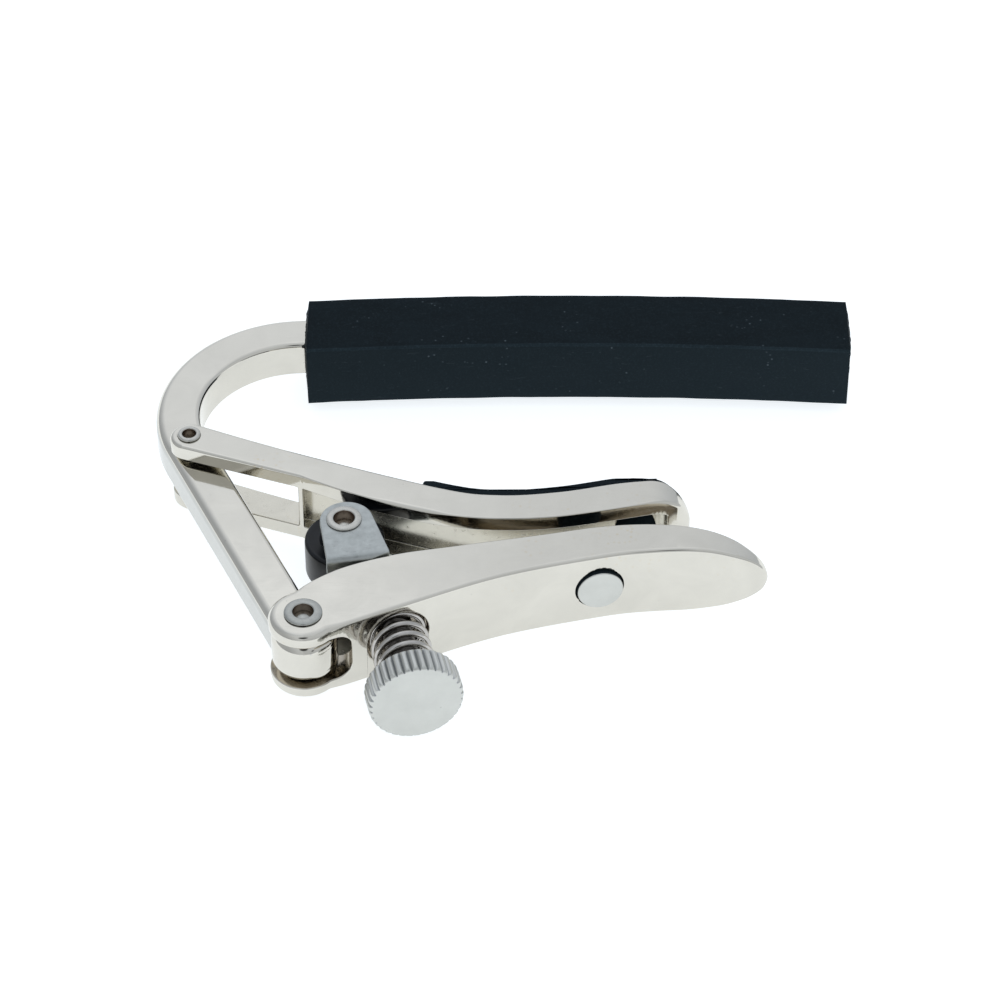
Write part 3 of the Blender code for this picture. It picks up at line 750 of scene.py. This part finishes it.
def rounded_rectangle(low_y, high_y, half_z, radius, steps, side):
    """A closed loop in the y-z plane, with the same count of points for any size."""
    low, high, side_z = low_y + radius, high_y - radius, half_z - radius
    centres = [(high, side_z), (low, side_z), (low, -side_z), (high, -side_z)]
    corners = list(zip(centres, (0.0, 90.0, 180.0, 270.0)))
    points = []
    for i, (centre, start) in enumerate(corners):
        points += arc(centre, radius, start, start + 90.0, steps)
        following, turn = corners[(i + 1) % 4]
        ahead = arc(following, radius, turn, turn + 1.0, 1)[0]
        behind = points[-1]
        points += [tuple(b + (a - b) * k / side for a, b in zip(ahead, behind)) for k in range(1, side)]
    return points


def sleeve_ring(x, *shape):
    """One ring of the sleeve, square to the x axis; the shape's y is measured outwards from the bow."""
    return [Vector((x, bow_point(x, y)[1], z)) for y, z in rounded_rectangle(*shape)]


def ripple(x, y, z):
    """Smooth unevenness of the moulded and cut rubber, between about -1 and 1."""
    slow = math.sin(0.31 * x + 1.3) * math.cos(0.27 * x + 0.9 * z)
    return (slow + 0.5 * math.sin(0.83 * x + 0.7 * y)) / 1.5


def make_sleeve(look, crease_highlight_look):
    """The thick rubber sleeve; its long rounded edges are made lighter as a painted highlight, and each end
    swells a little round the bar.
    """
    corner_steps = 5
    side_steps = 10
    steps = (corner_steps, side_steps)
    half = TOP_WIDTH / 2
    outline = (-half - SLEEVE_NECK_WALL, half + SLEEVE_BACK_WALL, SLEEVE_HALF_Z, SLEEVE_CORNER)
    bore = (-half - 0.05, half + 0.05, BAR_THICKNESS / 2 + 0.05, 0.2)
    rings = []
    for i in range(SLEEVE_STATIONS + 1):
        x = SLEEVE_START_X + (SLEEVE_END_X - SLEEVE_START_X) * i / SLEEVE_STATIONS
        ring = sleeve_ring(x, *outline, *steps)
        for point in ring:
            outer = 1.0 if point.y > bow_point(x, 0.0)[1] else -1.0
            point.y += 0.05 * ripple(point.x, point.y, point.z) * outer
            point.z *= 1.0 - 0.008 * abs(ripple(point.x, point.z, point.y))
        rings.append(ring)
    for end_x, outwards in ((SLEEVE_END_X, 1.0), (SLEEVE_START_X, -1.0)):
        lip = []
        for share, swell in SLEEVE_LIP:
            x = end_x + outwards * swell
            pairs = zip(sleeve_ring(x, *outline, *steps), sleeve_ring(x, *bore, *steps))
            ring = [outer.lerp(inner, share) for outer, inner in pairs]
            for point in ring:
                _, y, z = point
                rough = math.sin(7.3 * y + 2.0 * z) + 0.7 * math.sin(13.1 * z + 3.7 * y)
                point.x += 0.07 * rough * min(share, 0.8) * outwards
            lip.append(ring)
        rings = rings + lip if outwards > 0.0 else lip[::-1] + rings
    # The long rounded edges take the second look, the rubber made 1.9 times lighter: a painted highlight.
    creases = [corner * (corner_steps + side_steps) + k for corner in range(4) for k in range(corner_steps)]
    sleeve = loft("sleeve_rubber", rings, False, set(creases))
    finish_piece(sleeve, "bar", look, "rubber_sleeve", 70.0, crease_highlight_look)


# ---- Lower arm and its pad ----


def arm_outline():
    ear = arc(ARM_PIVOT, ARM_EAR_RADIUS, 250.0, 70.0, 40)
    neck_side = smooth([*ARM_NECK_SIDE, *ARM_NOSE])
    open_side = smooth([ARM_NOSE[-1], *ARM_OPEN_SIDE])
    return ear[:-1] + neck_side[:-1] + open_side


def round_plan(nose_x, half_z):
    """A bar seen along y, with a rounded far end."""
    centre = nose_x - half_z
    return [(BEHIND_ARM_X, half_z), *arc((centre, 0.0), half_z, 90.0, -90.0, 48), (BEHIND_ARM_X, -half_z)]


def make_arm(look, inside_shade_look):
    arm = rounded_plate("arm_channel", arm_outline()[::-1], arm_edge_radius, arm_half_z,
                        ARM_NOSE_X - ARM_HALF_Z)
    floor = [p for p in offset_line(smooth(ARM_NECK_SIDE), ARM_WEB) if ARM_WEB_START_X < p[0] < 18.0]
    floor += smooth(ARM_CHANNEL_END, 6)
    below = ARM_PIVOT[1] - 2 * REACH
    gap = plate("arm_gap", [(ARM_WEB_START_X, below), (floor[-1][0], below), *reversed(floor)],
                -ARM_GAP_HALF_Z, ARM_GAP_HALF_Z)
    plan = round_plan(ARM_GAP_END_X, ARM_GAP_HALF_Z - 0.001)
    boolean(gap, plan_prism("gap_plan", plan, below - 1, REACH), "INTERSECT")
    boolean(arm, gap)
    near = ARM_WEB_START_X + 0.01
    slot = [(near, -REACH), (near, REACH), (BEHIND_ARM_X, REACH), (BEHIND_ARM_X, -REACH)]
    boolean(arm, plate("arm_slot", slot, -ARM_GAP_HALF_Z, ARM_GAP_HALF_Z))
    boolean(arm, cylinder("arm_pin_bore", ARM_BORE_RADIUS, -REACH, REACH, upright(*ARM_PIVOT)))
    fillet(arm, lambda middle, one, other: 0.16)
    # Cut faces of the channel, slot and bore take the second look: rougher nickel with a warmer tint, the
    # tint a painted warm reflection.
    finish_piece(arm, "arm", look, "lower_arm", second_look=inside_shade_look)


def arm_edge_radius(x, y):
    """Round on the neck side, the ear and the nose, nearly sharp along the open side."""
    open_side_y = -1.4 + (x + 25.1) * (-9.25 + 1.4) / 25.1 if x < 0.0 else -9.25 + x * 0.14
    if x > 19.0:
        return 0.5
    return 0.2 if abs(y - open_side_y) < 1.4 and x > -36.0 else 0.6


def arm_half_z(x, y):
    """The arm's half width: constant, then round in plan at the nose."""
    over = max(x - (ARM_NOSE_X - ARM_HALF_Z), 0.0)
    return math.sqrt(max(ARM_HALF_Z ** 2 - over ** 2, 0.0))


def pad_crown(contact):
    """The pad's neck face, which rounds up at its start and comes down towards the arm's nose."""
    full = offset_line(contact, -PAD_HEIGHT)
    low = offset_line(contact, -PAD_NOSE_HEIGHT)
    crown = []
    for (x, _), high_point, low_point in zip(contact, full, low):
        share = min(max((x - PAD_TAPER_START_X) / (PAD_END_X - PAD_TAPER_START_X), 0.0), 1.0)
        crown.append(tuple(a + (b - a) * share for a, b in zip(high_point, low_point)))
    for i, (x, _) in enumerate(contact):
        short = 1.0 - min((x - PAD_START_X) / 1.8, 1.0)
        rise = 0.3 + 0.7 * math.sqrt(1.0 - short ** 2)
        crown[i] = tuple(a + (b - a) * rise for a, b in zip(contact[i], crown[i]))
    return crown


def make_arm_pad(look):
    line = offset_line(smooth([*ARM_NECK_SIDE, ARM_NOSE[0]]), -0.02)
    contact = [p for p in line if PAD_START_X < p[0] < PAD_END_X]
    pad = plate("arm_pad_strip", contact + pad_crown(contact)[::-1], -PAD_HALF_Z, PAD_HALF_Z)
    boolean(pad, plan_prism("pad_plan", round_plan(PAD_NOSE_X, PAD_HALF_Z + 0.1), -REACH, REACH), "INTERSECT")
    fillet(pad, lambda middle, one, other: 0.3 if one.y + other.y > 0.3 else 0.08)
    finish_piece(pad, "arm", look, "arm_pad")
    under = -ARM_WEB
    dome = [(PAD_STUD_RADIUS * r, under - 0.1 + 1.15 * z) for r, z in arc((0.0, 0.0), 1.0, 0.0, -90.0, 16)]
    head = [(0.0, under + 0.4), (PAD_STUD_RADIUS, under + 0.4), *dome]
    stud = turned("arm_pad_stud", head, in_plane(*PAD_STUD_AT, PAD_STUD_TILT))
    finish_piece(stud, "arm", look)


# ---- Lever, bumper and its closing disc ----


def lever_outline():
    ear = arc(LEVER_PIVOT, LEVER_EAR_RADIUS, 318.0, 105.0, 60)
    return ear[:-1] + smooth([*LEVER_INNER, *LEVER_NOSE, *LEVER_OUTER])


def fork_plan(radius=1.9):
    """The slot round the bar's knuckle, seen along y, with rounded inner corners."""
    half = LEVER_GAP_HALF_Z
    outside = LEVER_PIVOT[0] - REACH
    return [(outside, half), *arc((FORK_END_X - radius, half - radius), radius, 90.0, 0.0, 10),
            *arc((FORK_END_X - radius, radius - half), radius, 0.0, -90.0, 10), (outside, -half)]


def make_lever(look, inside_shade_look):
    lever = rounded_plate("lever_body", lever_outline()[::-1], lever_edge_radius, lever_half_z,
                          LEVER_NOSE_X - LEVER_NOSE_DEPTH)
    below = LEVER_PIVOT[1] - REACH
    above = LEVER_PIVOT[1] + 2 * REACH
    boolean(lever, cylinder("lever_pin_bore", LEVER_BORE_RADIUS, -REACH, REACH, upright(*LEVER_PIVOT)))
    web = offset_line(smooth(LEVER_OUTER), LEVER_WEB)
    web = [p for p in web if -7.5 < p[0] < LEVER_CHANNEL_END_X - 1.0]
    seat_floor = [along(SCREW_SEAT, SCREW_IN, SEAT_THICKNESS, side) for side in (4.6, -5.0)]
    outside = LEVER_PIVOT[0] - REACH
    hollow = [(outside, -24.5), (FORK_END_X, -24.5), *seat_floor, *reversed(web),
              (LEVER_CHANNEL_END_X, -12.0), (LEVER_CHANNEL_END_X, above), (outside, above)]
    boolean(lever, plate("lever_hollow", hollow, -LEVER_GAP_HALF_Z, LEVER_GAP_HALF_Z))
    boolean(lever, plan_prism("fork_slot", fork_plan(), below, -24.0))
    boolean(lever, cylinder("counterbore", COUNTERBORE_RADIUS, -8.0, 0.0, on_screw_axis()))
    boolean(lever, cylinder("screw_hole", SCREW_RADIUS + 0.1, -1.0, 6.0, on_screw_axis()))
    boolean(lever, cylinder("button_hole", BUTTON_HOLE_RADIUS, -4.0, 4.0, on_button_axis()))
    fillet(lever, lever_cut_edge)
    # Cut faces of the hollow, fork, holes and bore take the second look, a darker brown nickel: painted shade
    # and painted warm reflection.
    finish_piece(lever, "lever", look, "lever", second_look=inside_shade_look)


def lever_cut_edge(middle, one, other):
    """A small radius on every cut edge, but none where the fork's round corners run out into the hollow."""
    ledge = abs(middle.x - FORK_END_X + 1.0) < 1.4 and -24.8 < middle.y < -23.7 and abs(middle.z) > 1.0
    return 0.0 if ledge else 0.18


def lever_edge_radius(x, y):
    """Wide rounding at the ear, less along the outer face, and small on the inner edge and at the nose."""
    if x > 30.0:
        return 0.35
    middle_y = -24.5 + (x + 24.0) * 0.33 if x < 12.0 else -12.8
    if math.dist((x, y), LEVER_PIVOT) < LEVER_EAR_RADIUS + 0.4:
        return 1.0
    return 0.5 if y < middle_y else 0.3


def lever_half_z(x, y):
    """The lever's half width: constant, then half an ellipse in plan at the nose."""
    share = min(max((x - LEVER_NOSE_X + LEVER_NOSE_DEPTH) / LEVER_NOSE_DEPTH, 0.0), 1.0)
    return LEVER_HALF_Z * math.sqrt(1.0 - share ** 2)


def make_bumper(rubber, satin):
    """Rubber plug through the lever's hole; outside, a dull disc stands a little proud on its black edge."""
    plug = BUTTON_HOLE_RADIUS - 0.07
    dome = [(2.75 * r, 4.1 + 1.5 * h) for r, h in arc((0.0, 0.0), 1.0, 90.0, 0.0, 14)]
    proud = -BUTTON_PROUD
    foot = arc((plug - 0.12, proud + 0.12), 0.12, 0.0, -90.0, 4)
    body = turned("bumper_plug", [*dome, (3.15, 3.6), (3.15, 2.35), (plug, 2.35), *foot, (0.0, proud)],
                  on_button_axis())
    finish_piece(body, "lever", rubber, "bumper")
    rings = [(0.0, -0.03), (0.45, 0.0), (0.75, 0.035), (1.1, 0.0), (1.45, -0.01), (1.75, 0.04), (2.1, 0.0),
             (2.5, -0.02), *arc((2.72, 0.1), 0.13, -80.0, 0.0, 5)]
    top = [(r, proud - 0.06 + z) for r, z in rings]
    under = proud + 0.08
    disc = turned("bumper_disc", [(0.0, under), (2.85, under), *reversed(top)], on_button_axis(0.03))
    finish_piece(disc, "lever", satin, "bumper_rivet", 50.0)


# ---- Rivets ----


def rivet_profile(radius, head_radius, height, hole_radius, hole_depth, face):
    """A semi-tubular rivet with a rolled head on each side: domed hole floor, lip, rim and shank."""
    top = face + FACE_GAP + height
    seat = face + 0.08
    floor = [(hole_radius * k / 6, top - hole_depth + 0.28 * (1 - (k / 6) ** 2)) for k in range(7)]
    lip = arc((hole_radius + 0.2, top - 0.2), 0.2, 180.0, 90.0, 5)
    wide = (head_radius - hole_radius) * 0.55
    rim = [(head_radius - wide + wide * r, top - height + 0.9 * height * z + 0.1 * height)
           for r, z in arc((0.0, 0.0), 1.0, 90.0, 0.0, 9)]
    upper = [*floor, *lip, *rim, (head_radius, seat), (radius, seat)]
    return upper + mirrored(upper)


def make_rivet(name, body, looks, node, pivot, sizes):
    """A rivet with the wall of its hole in a second, darker brown look: painted shade and painted reflection.
    """
    rivet = turned(name, rivet_profile(*sizes), upright(*pivot), 72)
    hole_radius = sizes[3]
    for polygon in rivet.data.polygons:
        wall = math.dist(polygon.center.xy, pivot) < hole_radius + 0.03 and abs(polygon.normal.z) < 0.6
        polygon.material_index = int(wall)
    finish_piece(rivet, body, looks[0], node, 50.0, looks[1])


# ---- Roller and its bracket ----


def bracket_section():
    """The folded strip seen along its width: u is inwards along the screw axis, and the base is at u = 0."""
    half = BRACKET_HALF_Z
    fold = (half - BRACKET_BEND, BRACKET_BEND)
    low = arc(fold, BRACKET_BEND, -90.0, 0.0, 12)
    high = arc(fold, BRACKET_BEND - BRACKET_SHEET, 0.0, -90.0, 8)
    side = [*low, (half, 16.0), (half - BRACKET_SHEET, 16.0), *high]
    return side + [(-z, u) for z, u in reversed(side)]


def bracket_side_view():
    centre = [a + shift for a, shift in zip(ROLLER_CENTRE, BRACKET_EAR_SHIFT)]
    return [(-21.05, -18.2), (-12.65, -18.0), *arc(centre, BRACKET_EAR_RADIUS, 18.3, 186.0, 48)]


def make_bracket(look):
    """A folded strip, cut to its side view; v runs across the base, along the folds."""
    strip = plate("bracket_folded", bracket_section(), -14.0, 14.0)
    base = Vector((*BRACKET_BASE_AT, 0.0))
    across = Vector((*direction(BRACKET_TILT), 0.0))
    inwards = Vector((*direction(90.0 + BRACKET_TILT), 0.0))
    for vertex in strip.data.vertices:
        z, u, v = vertex.co
        vertex.co = base - across * v + inwards * u + Vector((0.0, 0.0, z))
    clean(strip.data)
    boolean(strip, plate("bracket_side", bracket_side_view(), -8.0, 8.0), "INTERSECT")
    for low, high in ((TONGUE_HALF_Z, REACH), (-REACH, -TONGUE_HALF_Z)):
        boolean(strip, plate("foot_notch", FOOT_NOTCH, low, high))
    boolean(strip, cylinder("roller_pin_bore", BRACKET_BORE_RADIUS, -REACH, REACH, upright(*ROLLER_CENTRE)))
    boolean(strip, cylinder("screw_neck_hole", SCREW_NECK_RADIUS + 0.2, 5.0, 10.6, on_screw_axis()))
    fillet(strip, lambda middle, one, other: 0.13)
    finish_piece(strip, "bracket", look, "roller_bracket")


def make_roller(look):
    """Moulded roller: rounded rim, dished sides and hubs that reach the bracket's ears."""
    r = ROLLER_RADIUS
    w = ROLLER_HALF_WIDTH
    hub = BRACKET_HALF_Z - BRACKET_SHEET - FACE_GAP
    rim = arc((r - 0.45, w - 0.45), 0.45, 90.0, 0.0, 8)
    side = [(1.9, hub), (2.85, hub), (3.0, hub - 0.15), (3.0, w + 0.1), (3.15, w - 0.1), (4.2, w - 0.1), *rim]
    ring = [*side, *mirrored(side), side[0]]
    roller = turned("roller_wheel", ring, upright(*ROLLER_CENTRE), 96)
    finish_piece(roller, "roller", look, "roller")


# ---- Screw, spring and knob ----


def thread_radius(angle, height, depth):
    phase = (height / THREAD_PITCH - angle / 360.0) % 1.0
    return SCREW_RADIUS - depth * (1.0 - abs(2.0 * phase - 1.0)) ** 1.4


def make_screw(look):
    """Threaded rod from inside the knob to its shoulder, then a neck and a peened end."""
    columns = 48
    per_turn = 10
    fade = 1.2
    start = KNOB_BACK - 1.2
    shoulder = BASE_DISTANCE - FACE_GAP
    rows = int((shoulder - start) / THREAD_PITCH * per_turn)
    rings = []
    for row in range(rows + 1):
        height = start + (shoulder - start) * row / rows
        depth = THREAD_DEPTH * min(1.0, (shoulder - height) / fade)
        rings.append(circle(lambda angle: thread_radius(angle, height, depth), height, columns))
    collar = BASE_DISTANCE + BRACKET_SHEET + FACE_GAP
    end = [(SCREW_NECK_RADIUS, shoulder + 0.02), (SCREW_NECK_RADIUS, collar), (1.9, collar + 0.02),
           (2.0, collar + 0.25), (1.7, collar + 0.48), (0.9, collar + 0.55)]
    rings += [circle(radius, height, columns) for radius, height in end]
    screw = loft("screw_threaded", rings)
    screw.data.transform(on_screw_axis())
    finish_piece(screw, "screw", look, "screw", 55.0)


def spring_height(share):
    """Rise of the coil: the first and last two thirds of a turn lie nearly flat, as ground ends do."""
    flat = 0.62 / SPRING_TURNS
    rise = 0.10
    if share < flat:
        return rise * (share / flat) ** 2
    if share > 1.0 - flat:
        return 1.0 - rise * ((1.0 - share) / flat) ** 2
    return rise + (1.0 - 2 * rise) * (share - flat) / (1.0 - 2 * flat)


def make_spring(look):
    per_turn = 72
    count = int(SPRING_TURNS * per_turn)
    low = KNOB_BACK + SPRING_WIRE + 0.02
    high = -SPRING_WIRE - 0.02
    centres = []
    for i in range(count + 1):
        x, y = direction(360.0 * i / per_turn)
        height = low + (high - low) * spring_height(i / count)
        centres.append(Vector((SPRING_RADIUS * x, SPRING_RADIUS * y, height)))
    rings = []
    for i, centre in enumerate(centres):
        ahead = (centres[min(i + 1, count)] - centres[max(i - 1, 0)]).normalized()
        outwards = Vector((centre.x, centre.y, 0.0)).normalized()
        side = ahead.cross(outwards)
        blunt = 1.0 if 0 < i < count else 0.8
        rings.append([centre + (outwards * c + side * s) * SPRING_WIRE * blunt
                      for c, s in (direction(360.0 * k / 16) for k in range(16))])
    spring = loft("spring_coil", rings)
    spring.data.transform(on_screw_axis())
    finish_piece(spring, None, look, "spring", 60.0)
    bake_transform(spring)


def knurl_depth(angle):
    """Depth of the straight knurl at an angle: flat-topped teeth with narrow round grooves."""
    phase = (angle * KNURLS / 360.0) % 1.0
    distance = abs(phase - 0.5)
    return 0.42 * max(0.0, 1.0 - distance / 0.34) ** 1.1


def make_knob(look, groove_shade_look):
    """The face with the screw's hole, the knurled edge in rings of (height, inset), and the plain face."""
    columns = KNURLS * 14
    back = -KNOB_THICKNESS
    bore = SCREW_RADIUS + 0.02
    levels = [(0.0, -0.55), (-0.10, -0.32), (-0.32, -0.08), (-0.55, 0.0), (back + 0.55, 0.0),
              (back + 0.22, -0.10), (back + 0.06, -0.26), (back, -0.42)]
    hole = [(0.02, -1.0), (bore, -1.0), (bore, 0.0), (5.0, 0.0)]
    face = [(5.2, back - 0.005), (3.0, back - 0.015), (0.02, back - 0.02)]
    rings = [circle(radius, z, columns) for radius, z in hole]
    for z, inset in levels:
        rings.append(circle(lambda angle: KNOB_RADIUS + min(-knurl_depth(angle), inset), z, columns))
    rings += [circle(radius, z, columns) for radius, z in face]
    # Groove faces take the second look, a darker copy of the satin: painted shade.
    grooves = {i for i in range(columns) if knurl_depth(360.0 * (i + 0.5) / columns) > 0.22}
    knob = loft("knob_knurled", rings, True, grooves)
    for polygon in knob.data.polygons:
        if polygon.center.xy.length < KNOB_RADIUS - 0.55 or abs(polygon.normal.z) > 0.9:
            polygon.material_index = 0
    knob.data.transform(on_screw_axis(KNOB_BACK))
    finish_piece(knob, "screw", look, "knob", 38.0, groove_shade_look)


# ---- Studio ----


def make_floor():
    """A white light table: pale, matt and a little luminous."""
    look = Look("studio_floor", (0.50, 0.50, 0.50), 0.9)
    look.set("Specular IOR Level", 0.05)
    look.set("Emission Color", (1.0, 1.045, 1.08, 1.0))
    look.set("Emission Strength", 0.80)
    bpy.ops.mesh.primitive_plane_add(size=8.0)
    floor = bpy.context.object
    floor.name = "floor"
    floor.data.materials.append(look.material)


def make_world():
    """A soft white tent with a dark patch round the camera, dimmed to the left and slightly to the right."""
    world = bpy.data.worlds.new("tent")
    bpy.context.scene.world = world
    world.use_nodes = True
    tree = world.node_tree

    def calculate(operation, *values):
        return add_node(tree, "Math", "Value", dict(enumerate(values)), operation=operation)

    def smoothstep(value, start, end, low, high):
        inputs = {"Value": value, "From Min": start, "From Max": end, "To Min": low, "To Max": high}
        return add_node(tree, "MapRange", "Result", inputs, interpolation_type="SMOOTHSTEP")

    ray = add_node(tree, "TexCoord", "Generated", {})
    x, y, z = add_node(tree, "SeparateXYZ", "X", {"Vector": ray}).node.outputs
    over = calculate("MULTIPLY_ADD", z, 0.38, calculate("MULTIPLY_ADD", y, 0.42, 0.42))
    tent = add_node(tree, "ValToRGB", "Color", {"Fac": over})
    elements = tent.node.color_ramp.elements
    for position, _ in TENT_SHADES[1:-1]:
        elements.new(position)
    for element, (_, colour) in zip(elements, TENT_SHADES):
        element.color = (*colour, 1.0)
    inputs = {0: ray, 1: camera_direction()}
    closeness = add_node(tree, "VectorMath", "Value", inputs, operation="DOT_PRODUCT")
    patch_edge, patch_core = (math.cos(math.radians(a)) for a in (15.0, 7.0))
    patch = smoothstep(closeness, patch_edge, patch_core, 1.0, 0.06)
    left = smoothstep(x, -0.85, -0.15, 0.66, 1.0)
    right = smoothstep(x, -0.05, 0.035, 1.0, 0.87)
    dim = calculate("MULTIPLY", patch, calculate("MULTIPLY", left, right))
    dimmed = add_node(tree, "VectorMath", "Vector", {0: tent, "Scale": dim}, operation="SCALE")
    plug(tree.nodes["Background"].inputs["Color"], dimmed)


def make_softbox():
    """A large, weak light high above the capo."""
    light = bpy.data.lights.new("softbox", "AREA")
    light.shape = "RECTANGLE"
    light.size, light.size_y = 2.6, 2.2
    light.energy = 2.5
    softbox = new_object("softbox", light)
    softbox.location = (0.3, 0.5, 2.2)
    softbox.rotation_euler = (-softbox.location).to_track_quat("-Z", "Y").to_euler()


def camera_direction():
    rise = math.radians(CAMERA_RISE)
    return Vector((0.0, -math.cos(rise), math.sin(rise)))


def make_camera():
    """The product shot's view: from the front, 42.5 degrees above the floor, half a metre away."""
    camera = bpy.data.cameras.new("camera")
    camera.lens = 144.0
    camera.sensor_width = 36.0
    camera.clip_start = 0.01
    obj = new_object("camera", camera)
    obj.location = ORIGIN + CAMERA_DISTANCE * camera_direction()
    obj.rotation_euler = (math.radians(90.0 - CAMERA_RISE), 0.0, 0.0)
    bpy.context.scene.camera = obj


def main():
    make_camera()
    make_world()
    make_floor()
    make_softbox()
    bpy.context.scene.view_settings.view_transform = "Standard"
    cast_nickel = polished_nickel("cast_nickel", (0.35, 7.0, 7.0))
    satin = satin_knob("satin_knob", (0.59, 0.595, 0.562))
    dull_nickel = drawn_wire("dull_nickel", (0.55, 0.54, 0.50), 0.26)
    dark_nickel = drawn_wire("dark_nickel", (0.43, 0.435, 0.41), 0.24)
    # Dark brown for the rivets' hole walls: painted shade and painted reflection.
    hole_shade_brown = drawn_wire("hole_shade_brown", (0.32, 0.26, 0.21), 0.3)
    pad_rubber = black_rubber("pad_rubber", False)
    # The bar's second look is a darker nickel for its outer sides: painted shade.
    make_bar(polished_nickel("bar_nickel", (0.3, 6.0, 6.0)),
             polished_nickel("outer_side_shade_nickel", (0.3, 6.0, 6.0), (0.53, 0.53, 0.50)))
    make_knuckle_barrel(polished_nickel("knuckle_nickel", (1.6, 1.6, 0.3)))
    # The sleeve's second look is a lighter rubber for its long edges: a painted highlight.
    make_sleeve(black_rubber("sleeve_rubber", True), black_rubber("crease_highlight_rubber", False, 1.9))
    # The arm's second look is rougher nickel whose warmer tint is a painted reflection.
    make_arm(cast_nickel, polished_nickel("arm_inside_warm_reflection", 1.5, (0.665, 0.635, 0.55), 0.13))
    make_arm_pad(pad_rubber)
    # The lever's second look is darker brown nickel for its inner faces: painted shade and painted warm
    # reflection.
    make_lever(cast_nickel, polished_nickel("inside_shade_nickel", 1.5, (0.50, 0.452, 0.375), 0.10))
    make_bumper(pad_rubber, satin)
    make_rivet("arm_rivet_rolled", "bar", (dull_nickel, hole_shade_brown), "arm_rivet",
               ARM_PIVOT, (*ARM_RIVET, ARM_HALF_Z))
    make_rivet("lever_rivet_rolled", "bar", (dark_nickel, hole_shade_brown), "lever_rivet",
               LEVER_PIVOT, (*LEVER_RIVET, LEVER_HALF_Z))
    make_rivet("roller_pin_rolled", "bracket", (dull_nickel, hole_shade_brown), "roller_pin",
               ROLLER_CENTRE, (*ROLLER_PIN, BRACKET_HALF_Z))
    make_bracket(satin_steel())
    make_roller(black_nylon())
    make_screw(drawn_wire("screw_steel", (0.13, 0.12, 0.11), 0.28))
    make_spring(drawn_wire("spring_wire", (0.50, 0.48, 0.455), 0.10))
    # The knob's second look is a darker satin for the knurl grooves: painted shade.
    make_knob(satin, satin_knob("knurl_groove_shade", (0.42, 0.43, 0.425)))


main()
